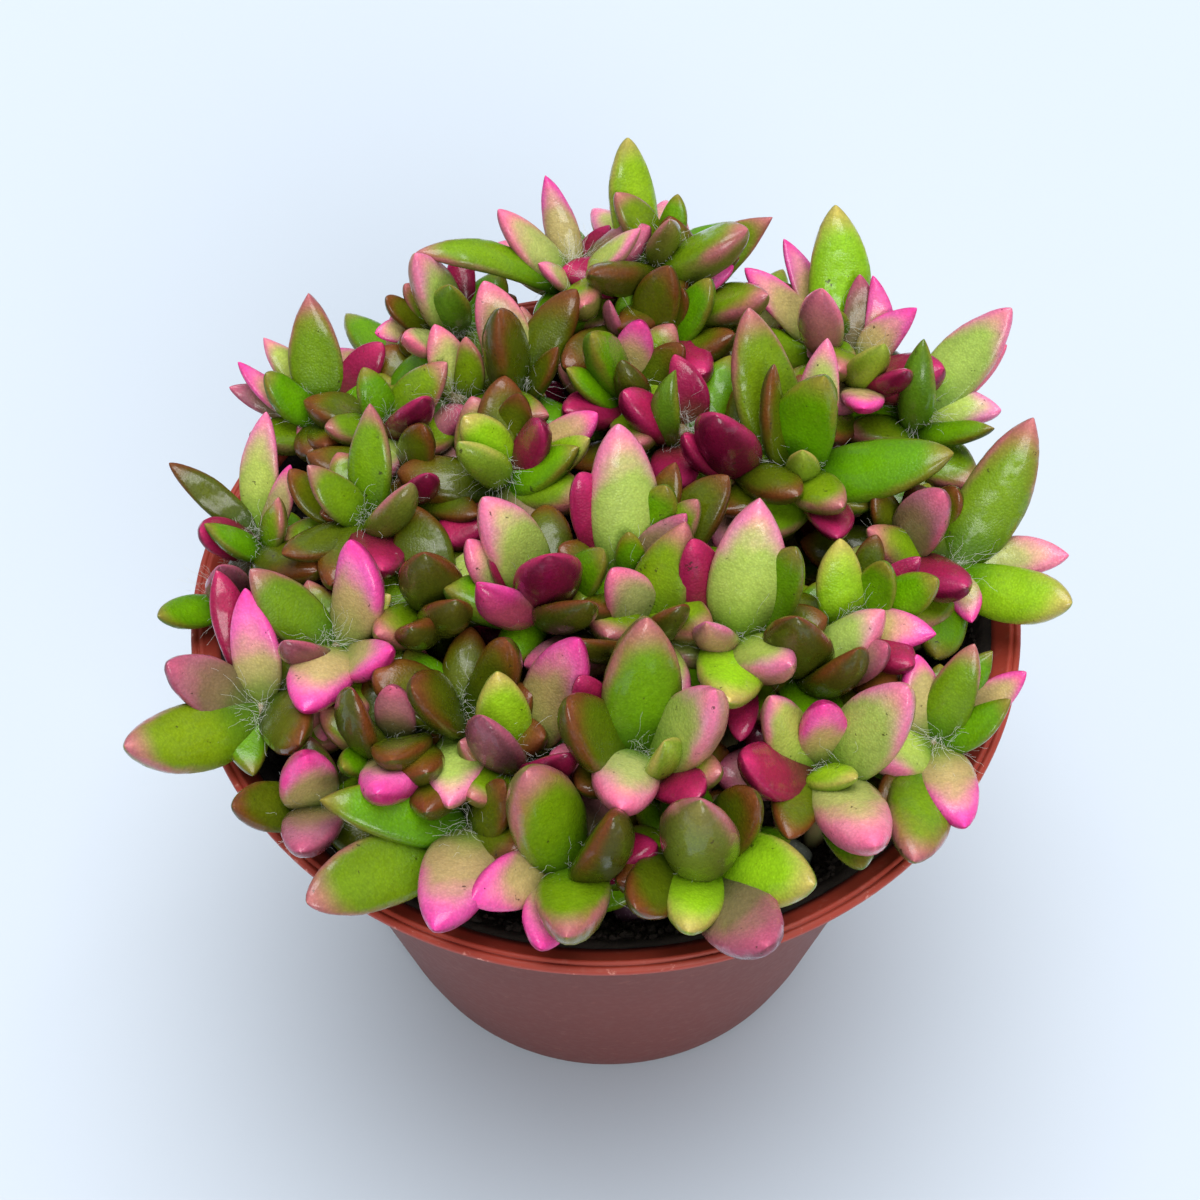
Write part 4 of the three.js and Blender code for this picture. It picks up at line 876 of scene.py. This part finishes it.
def leafFacts(lf, plant, draw):
    long = np.linalg.norm(lf["tip"] - lf["base"])
    along = unit(lf["tip"] - lf["base"])
    spread = np.linalg.norm(lf["base"] - plant["top"])
    share = min(0.1 + 0.04 * spread, 0.6)
    root = plant["top"] * (1 - share) + stemBend(plant) * share
    if "bead" in lf:
        root = np.array([*plant["foot"], lf["base"][2] - 0.8])
    facing = plant["top"] + upBy(6) - lf["base"]
    face = unit(facing - (facing @ along) * along)
    if "read" in lf:
        seen = towardsEye - (towardsEye @ along) * along
        face = unit(face + math.copysign(leafForm["shown"], face @ seen) * seen)
    side = np.cross(face, along)
    twist = math.radians(draw.normal(0, leafForm["twist"]))
    face = face * math.cos(twist) + side * math.sin(twist)
    middle = lf["base"] + along * 0.26 * long - face * long * leafForm["bow"] * draw.uniform(0.1, 1.4)
    middle = middle + side * long * draw.normal(0, leafForm["sway"])
    middle[2] += long * lf.get("arch", 0)
    tone = leafTones[lf["tone"]]
    shade = draw.normal(1.0, 0.06)
    colours = {}
    for part in colourParts:
        linear = np.array(hexColour(tone[part]))
        linear[:3] = np.clip(linear[:3] * shade * draw.normal(1, 0.04, 3), 0, 1)
        colours[part + "Colour"] = linear
    half = leafForm["halfBroad" if lf["wide"] >= leafForm["broadFrom"] else "half"]
    thickness = leafForm["plump" if "extra" in lf else "thickness"]
    stubby = 0.3 * (lf["wide"] * 2 / long - 1)
    return {
        "rootAt": root * mm, "middleAt": middle * mm, "tipAt": lf["tip"] * mm, "faceTo": face,
        "halfWide": lf["wide"] * half * mm,
        "thick": lf["wide"] * thickness * draw.uniform(0.88, 1.15) * mm,
        "fold": draw.uniform(0.04, 0.3),
        "blunt": float(np.clip(tone["blunt"] + draw.normal(0, 0.14) + stubby, 0, 1)),
        "blush": tone["blush"] + draw.normal(0, 0.06),
        **colours,
    }


# Loose points, with an attribute for each fact about them
def pointMesh(name, places, facts):
    mesh = bpy.data.meshes.new(name)
    mesh.from_pydata([tuple(place) for place in places], [], [])
    kinds = {1: ("FLOAT", "value"), 3: ("FLOAT_VECTOR", "vector"), 4: ("FLOAT_COLOR", "color")}
    for label, values in facts.items():
        values = np.array(values, np.float32)
        kind, field = kinds[values.size // len(values)]
        mesh.attributes.new(label, kind, "POINT").data.foreach_set(field, values.ravel())
    return mesh


def makeShoot(plant, pattern, tree, draw):
    facts = [leafFacts(lf, plant, draw) for lf in plant["leaves"]]
    facts = {name: [fact[name] for fact in facts] for name in facts[0]}
    shoot = newMeshObject(plant["name"] + ".leaves", pointMesh(plant["name"], facts["middleAt"], facts))
    growFrom(shoot, tree, {"Leaf": pattern, "Wobble": leafForm["wobble"],
                           "Wobble scale": leafForm["wobbleScale"], "Seed": leafForm["seed"],
                           "Skin": leafSkin})
    for name in ("rootAt", "middleAt", "tipAt", "faceTo", "halfWide", "thick", "fold", "blunt", "sharpWide",
                 "bluntWide", "through"):
        found = shoot.data.attributes.get(name)
        if found:
            shoot.data.attributes.remove(found)
    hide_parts(plant["name"])
    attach(shoot, "root")


leafPattern = makeLeafPattern()
leafTree = makeLeafTree()
leafDraw = np.random.default_rng(leafForm["seed"])
for plant in plants:
    makeShoot(plant, leafPattern, leafTree, leafDraw)
bpy.data.objects.remove(leafPattern)
print("leaves grown")


def roundTurns(sides):
    return np.linspace(0, 2 * math.pi, sides, endpoint=False)


def ringAt(builder, radius, height, sides):
    return [builder.verts.new((radius * math.cos(turn) * mm, radius * math.sin(turn) * mm, height * mm))
            for turn in roundTurns(sides)]


def joinRings(builder, rings):
    for low, high in zip(rings, rings[1:]):
        for step in range(len(low)):
            after = (step + 1) % len(low)
            builder.faces.new((low[step], low[after], high[after], high[step]))


def tube(builder, path, radii, sides):
    rings = []
    for at, centre in enumerate(path):
        ahead = unit(path[min(at + 1, len(path) - 1)] - path[max(at - 1, 0)])
        first = unit(np.cross(ahead, (0.3, 1, 0.1)))
        second = np.cross(ahead, first)
        around = [(first * math.cos(turn) + second * math.sin(turn)) * radii[at] * mm
                  for turn in roundTurns(sides)]
        rings.append([builder.verts.new(Vector(centre * mm + offset)) for offset in around])
    joinRings(builder, rings)
    builder.faces.new(rings[0][::-1])
    builder.faces.new(rings[-1])


def meshFrom(builder, name, material):
    bmesh.ops.recalc_face_normals(builder, faces=builder.faces)
    mesh = bpy.data.meshes.new(name)
    builder.to_mesh(mesh)
    builder.free()
    mesh.materials.append(material)
    mesh.polygons.foreach_set("use_smooth", [True] * len(mesh.polygons))
    return newMeshObject(name, mesh)


def makeStems():
    builder = bmesh.new()
    for plant in plants:
        low = np.array([*plant["foot"], mound["soilTop"] - 4])
        bend, top = stemBend(plant), plant["top"]
        steps = np.linspace(0, 1, 9)
        path = [low * (1 - s) ** 2 + bend * 2 * s * (1 - s) + top * s ** 2 for s in steps]
        tube(builder, path, [mound["stemRadius"] * (1 - 0.25 * s) for s in steps], 10)
    stems = meshFrom(builder, "stems", stemSkin)
    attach(stems, "root")


makeStems()
print("stems grown")

# Pot: squat, tapered, with a flat rim that carries two low rings
potForm = {
    "height": 72, "rimRadius": 52, "rimBand": 1.0, "rimWidth": 2.1, "footRadius": 32.5, "shoulderRadius": 45.9,
    "shoulderHeight": 66.6, "wall": 1.2, "floor": 2, "ridge": 0.4, "sides": 160, "drainRadius": 4,
    "drainCircle": 19, "drainTurns": (45, 135, 225, 315),
}


def innerWall(height):
    slope = (potForm["shoulderRadius"] - potForm["footRadius"]) / potForm["shoulderHeight"]
    return potForm["footRadius"] + slope * height - potForm["wall"]


def arc(centre, radius, start, end, steps):
    turns = np.radians(np.linspace(start, end, steps))
    return [(centre[0] + radius * math.cos(turn), centre[1] + radius * math.sin(turn)) for turn in turns]


def potProfile():
    top, rim, ridge = potForm["height"], potForm["rimRadius"], potForm["ridge"]
    foot, shoulder, flare = potForm["footRadius"], potForm["shoulderRadius"], potForm["shoulderHeight"]
    under, inner = top - potForm["rimBand"], rim - potForm["rimWidth"]
    rows = [(foot - 2.4, 0.0)] + arc((foot - 1.3, 1.3), 1.3, -90, -12, 6)
    rows += [(foot + (shoulder - foot) * s, flare * s) for s in (0.08, 0.25, 0.45, 0.65, 0.82, 0.94, 0.985)]
    rows += [(shoulder + 0.35, flare + 0.35), (shoulder + 1.6, flare + 1.6), (shoulder + 3.6, flare + 3.6)]
    rows += [(inner + 0.5, under - 0.12), (inner + 0.8, under)]
    rows += arc((rim - 0.25, under + 0.25), 0.25, -90, 0, 4) + arc((rim - 0.3, top - 0.42), 0.3, 0, 60, 3)
    rows += arc((rim - ridge - 0.1, top - ridge), ridge, 50, 140, 5) + [(rim - 0.95, top - ridge)]
    rows += arc((rim - 1.32, top - ridge), 0.9 * ridge, 40, 140, 5) + [(inner + 0.25, top - ridge)]
    rows += [(inner - 0.2, top - ridge - 0.3), (inner - 2.4, top - ridge - 2.2)]
    rows += [(innerWall(flare) + 0.5, flare + ridge + 0.6), (innerWall(flare), flare + 0.1)]
    rows += [(innerWall(height), height) for height in (64, 52, 38, 24, 10, 4)]
    rows += arc((innerWall(3.4) - 1.4, 3.4), 1.4, 0, -90, 4)
    return rows


def makePot():
    profile, sides = potProfile(), potForm["sides"]
    builder = bmesh.new()
    wear = builder.verts.layers.float.new("edgeWear")
    rings = []
    for radius, height in profile:
        ring = ringAt(builder, radius, height, sides)
        for vert in ring:
            vert[wear] = 1.0 if radius > potForm["rimRadius"] - 0.5 and height > 70 else 0.1
        rings.append(ring)
    joinRings(builder, rings)
    # flat foot and floor, each closed to its middle
    for ring, height in ((rings[0], 0.0), (rings[-1], potForm["floor"])):
        middle = builder.verts.new((0, 0, height * mm))
        for step in range(sides):
            builder.faces.new((middle, ring[step], ring[(step + 1) % sides]))
    bmesh.ops.recalc_face_normals(builder, faces=builder.faces)
    pot = meshFrom(builder, "pot.moulded", potPlastic)
    cutters = []
    for turn in np.radians(potForm["drainTurns"]):
        place = Matrix.Translation((potForm["drainCircle"] * math.cos(turn) * mm,
                                    potForm["drainCircle"] * math.sin(turn) * mm, mm))
        hole = bmesh.new()
        bmesh.ops.create_cone(hole, cap_ends=True, segments=32, radius1=potForm["drainRadius"] * mm,
                              radius2=potForm["drainRadius"] * mm, depth=8 * mm, matrix=place)
        cutters.append(meshFrom(hole, "drain", potPlastic))
        cut = pot.modifiers.new("drain", "BOOLEAN")
        cut.operation, cut.object, cut.solver = "DIFFERENCE", cutters[-1], "EXACT"
    bakeModifiers(pot)
    for cutter in cutters:
        bpy.data.objects.remove(cutter)
    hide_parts("pot")
    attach(pot, "root")


makePot()
print("pot moulded")

# Soil: a lumpy bed under the leaves, with loose crumbs on it
soilForm = {
    "top": 62, "gap": 0.4, "rings": 26, "sides": 90, "lump": 0.8, "bank": 9.3, "bankWidth": 7.5,
    "bankCurve": 0.6, "bankReach": 48.5, "crumbs": 6400, "crumbReach": 46.1, "crumb": (0.35, 1.1),
    "topArea": 0.0055, "seed": 3,
}


def makeSoilBed():
    builder = bmesh.new()
    edge = innerWall(soilForm["top"]) - soilForm["gap"]
    low = innerWall(3) - soilForm["gap"] - 1.2
    rings = []
    upper, flare = soilForm["bankReach"], potForm["shoulderHeight"]
    for radius, height in ((low, 3.0), (edge, soilForm["top"] - 0.8),
                           (innerWall(flare) - soilForm["gap"], flare + 0.2),
                           (upper, soilForm["top"] + soilForm["bank"] - 0.6)):
        rings.append(ringAt(builder, radius, height, soilForm["sides"]))
    for ring in range(1, soilForm["rings"]):
        radius = upper * (1 - ring / soilForm["rings"]) ** 0.9
        bank = max(0, 1 - (upper - radius) / soilForm["bankWidth"]) ** soilForm["bankCurve"]
        row = []
        for turn in roundTurns(soilForm["sides"]):
            spot = Vector((radius * math.cos(turn), radius * math.sin(turn), 0))
            lump = noise.noise(spot * 0.25) * soilForm["lump"] + noise.noise(spot * 0.9) * 0.35
            lump *= 1 - 0.8 * bank
            height = soilForm["top"] - 0.5 + lump + soilForm["bank"] * bank
            row.append(builder.verts.new((spot.x * mm, spot.y * mm, height * mm)))
        rings.append(row)
    joinRings(builder, rings)
    builder.faces.new(rings[0][::-1])
    builder.faces.new(rings[-1])
    bed = meshFrom(builder, "soil.bed", peat)
    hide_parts("soil")
    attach(bed, "root")
    return bed


def makeCrumbTree():
    tree, add, given = newTree("crumbsOnSoil", {"Count": "Int", "Smallest": "Float", "Largest": "Float",
                                                "Seed": "Int", "Stuff": "Material"})
    density = add("Math", {0: given["Count"], 1: soilForm["topArea"]}, {"operation": "DIVIDE"})
    spread = add("GeometryNodeDistributePointsOnFaces",
                 {"Mesh": given["Geometry"], "Density": density, "Seed": given["Seed"]})
    stone = add("GeometryNodeMeshIcoSphere", {"Radius": 1.0, "Subdivisions": 1})
    size = add("FunctionNodeRandomValue", {2: given["Smallest"], 3: given["Largest"], "Seed": given["Seed"]},
               numberKind)
    turn = add("FunctionNodeRandomValue", {0: (0, 0, 0), 1: (6.28, 6.28, 6.28)}, vectorKind)
    squash = add("FunctionNodeRandomValue", {0: (0.6, 0.4, 0.3), 1: (1.2, 1.0, 0.7)}, vectorKind)
    scale = add("VectorMath", {0: squash, "Scale": size}, {"operation": "SCALE"})
    placed = add("GeometryNodeInstanceOnPoints", {"Points": spread, "Instance": stone, "Rotation": turn,
                                                  "Scale": scale})
    realised = add("GeometryNodeRealizeInstances", {"Geometry": placed})
    stuffed = add("GeometryNodeSetMaterial", {"Geometry": realised, "Material": given["Stuff"]})
    add("NodeGroupOutput", {"Geometry": stuffed})
    return tree


def makeCrumbs(bed):
    mesh = bed.data.copy()
    builder = bmesh.new()
    builder.from_mesh(mesh)
    builder.normal_update()
    edge = soilForm["crumbReach"] * mm
    bare = [face for face in builder.faces if face.normal.z < 0.2
            or face.calc_center_median().xy.length > edge]
    bmesh.ops.delete(builder, geom=bare, context="FACES")
    builder.to_mesh(mesh)
    builder.free()
    crumbs = newMeshObject("soil.crumbs", mesh)
    growFrom(crumbs, makeCrumbTree(), {"Count": soilForm["crumbs"], "Smallest": soilForm["crumb"][0] * mm,
                                       "Largest": soilForm["crumb"][1] * mm, "Seed": soilForm["seed"],
                                       "Stuff": peat})
    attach(crumbs, "root")


makeCrumbs(makeSoilBed())
print("soil laid")

# Loose pebbles near the rim, each in the place of its solid
pebbles = [greyPebble, greyPebble, purplePebble, greyPebble]


def makePebble(number, stuff):
    node = "pebble-%d" % number
    low, high = (np.array(corner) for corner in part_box(node))
    centre, half = (low + high) / 2, (high - low) * 0.6
    builder = bmesh.new()
    bmesh.ops.create_icosphere(builder, subdivisions=4, radius=1.0)
    for vert in builder.verts:
        rough = 1 + 0.12 * noise.noise(vert.co * 1.4 + Vector((number, 0, 0)))
        vert.co = Vector([centre[at] + half[at] * vert.co[at] * rough for at in range(3)])
    stone = meshFrom(builder, node + ".stone", stuff)
    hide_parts(node)
    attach(stone, "root")


for number, stuff in enumerate(pebbles):
    makePebble(number + 1, stuff)
print("pebbles placed")

# Cobweb hairs in the leaf axils of the crowns
hairForm = {
    "perCrown": 110, "out": (0.4, 2.6), "up": (-1.0, 1.6), "long": (2.0, 6.0), "thick": 0.014, "curl": 3.4,
    "waves": 330.0, "points": 12, "seed": 21,
}


def makeHairTree():
    tree, add, given = newTree("hairInAxils", {"Thickness": "Float", "Curl": "Float", "Points": "Int",
                                               "Seed": "Int", "Silk": "Material"})
    strand = add("GeometryNodeCurvePrimitiveLine", {"Start": (0, 0, 0), "End": (0, 0, 1)})
    strand = add("GeometryNodeResampleCurve", {"Curve": strand, "Count": given["Points"]})
    heading = add("GeometryNodeInputNamedAttribute", {"Name": "heading"}, vectorKind)
    long = add("GeometryNodeInputNamedAttribute", {"Name": "long"}, numberKind)
    turned = add("FunctionNodeAlignRotationToVector", {"Vector": heading}, {"axis": "Z"})
    placed = add("GeometryNodeInstanceOnPoints", {"Points": given["Geometry"], "Instance": strand,
                                                  "Rotation": turned, "Scale": long})
    realised = add("GeometryNodeRealizeInstances", {"Geometry": placed})
    place = add("GeometryNodeInputPosition")
    wave = add("TexNoise", {"Vector": place, "W": given["Seed"], "Scale": hairForm["waves"], "Detail": 1.0},
               {"noise_dimensions": "4D"})
    centred = add("VectorMath", {0: wave.outputs["Color"], 1: (0.5, 0.5, 0.5)}, minus)
    shift = add("VectorMath", {0: centred, "Scale": given["Curl"]}, {"operation": "SCALE"})
    curled = add("GeometryNodeSetPosition", {"Geometry": realised, "Offset": shift})
    ring = add("GeometryNodeCurvePrimitiveCircle", {"Resolution": 3, "Radius": given["Thickness"]})
    solid = add("GeometryNodeCurveToMesh", {"Curve": curled, "Profile Curve": ring, "Fill Caps": True})
    silky = add("GeometryNodeSetMaterial", {"Geometry": solid, "Material": given["Silk"]})
    add("NodeGroupOutput", {"Geometry": silky})
    return tree


def makeHairs():
    draw = np.random.default_rng(hairForm["seed"])
    roots, headings, longs = [], [], []
    for plant in plants:
        for strand in range(hairForm["perCrown"]):
            turn = draw.uniform(0, 2 * math.pi)
            out = np.array([math.cos(turn), math.sin(turn), 0])
            root = plant["top"] + out * draw.uniform(*hairForm["out"]) + upBy(draw.uniform(*hairForm["up"]))
            roots.append(root * mm)
            headings.append(unit(out * draw.uniform(-0.5, 1) + draw.normal(0, 0.5, 3) + towardsEye * 0.25))
            longs.append(draw.uniform(*hairForm["long"]) * mm)
    hairs = newMeshObject("axilHairs", pointMesh("axilHairs", roots, {"heading": headings, "long": longs}))
    growFrom(hairs, makeHairTree(), {"Thickness": hairForm["thick"] * mm, "Curl": hairForm["curl"] * mm,
                                     "Points": hairForm["points"], "Seed": hairForm["seed"],
                                     "Silk": hairSilk})
    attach(hairs, "root")


makeHairs()
print("hairs spun")


# Floor, camera and soft daylight
def makeStudio():
    bpy.ops.mesh.primitive_plane_add(size=30)
    floor = bpy.context.object
    floor.name = "floor"
    floor.data.materials.append(makeFloorPaint())
    camera = bpy.data.objects.new("camera", bpy.data.cameras.new("camera"))
    bpy.context.collection.objects.link(camera)
    camera.data.sensor_width = 36
    camera.data.lens = 36 * cameraView["focal"] / 1200
    camera.data.clip_start = 0.01
    axes = Matrix((viewRight, viewUp, towardsEye)).transposed().to_4x4()
    camera.matrix_world = Matrix.Translation(Vector(eye * mm)) @ axes
    bpy.context.scene.camera = camera
    lights = [
        {"name": "overhead", "from": (0.04, 0.18, 1.1), "spread": 50, "strength": 3.1, "tint": "#FFFFFF"},
        {"name": "front", "from": (0.25, -0.85, 0.65), "spread": 30, "strength": 1.5, "tint": "#FFFDF8"},
    ]
    for light in lights:
        data = bpy.data.lights.new(light["name"], "SUN")
        data.angle, data.energy = math.radians(light["spread"]), light["strength"]
        data.color = hexColour(light["tint"])[:3]
        lamp = bpy.data.objects.new(light["name"], data)
        bpy.context.collection.objects.link(lamp)
        lamp.rotation_euler = Vector(light["from"]).to_track_quat("Z", "Y").to_euler()
    world = bpy.data.worlds.new("daylight")
    world.use_nodes = True
    sky = world.node_tree.nodes["Background"]
    sky.inputs["Color"].default_value = hexColour("#EAF1FB")
    sky.inputs["Strength"].default_value = 0.38
    bpy.context.scene.world = world
    bpy.context.scene.view_settings.view_transform = "Standard"


makeStudio()
print("studio ready")
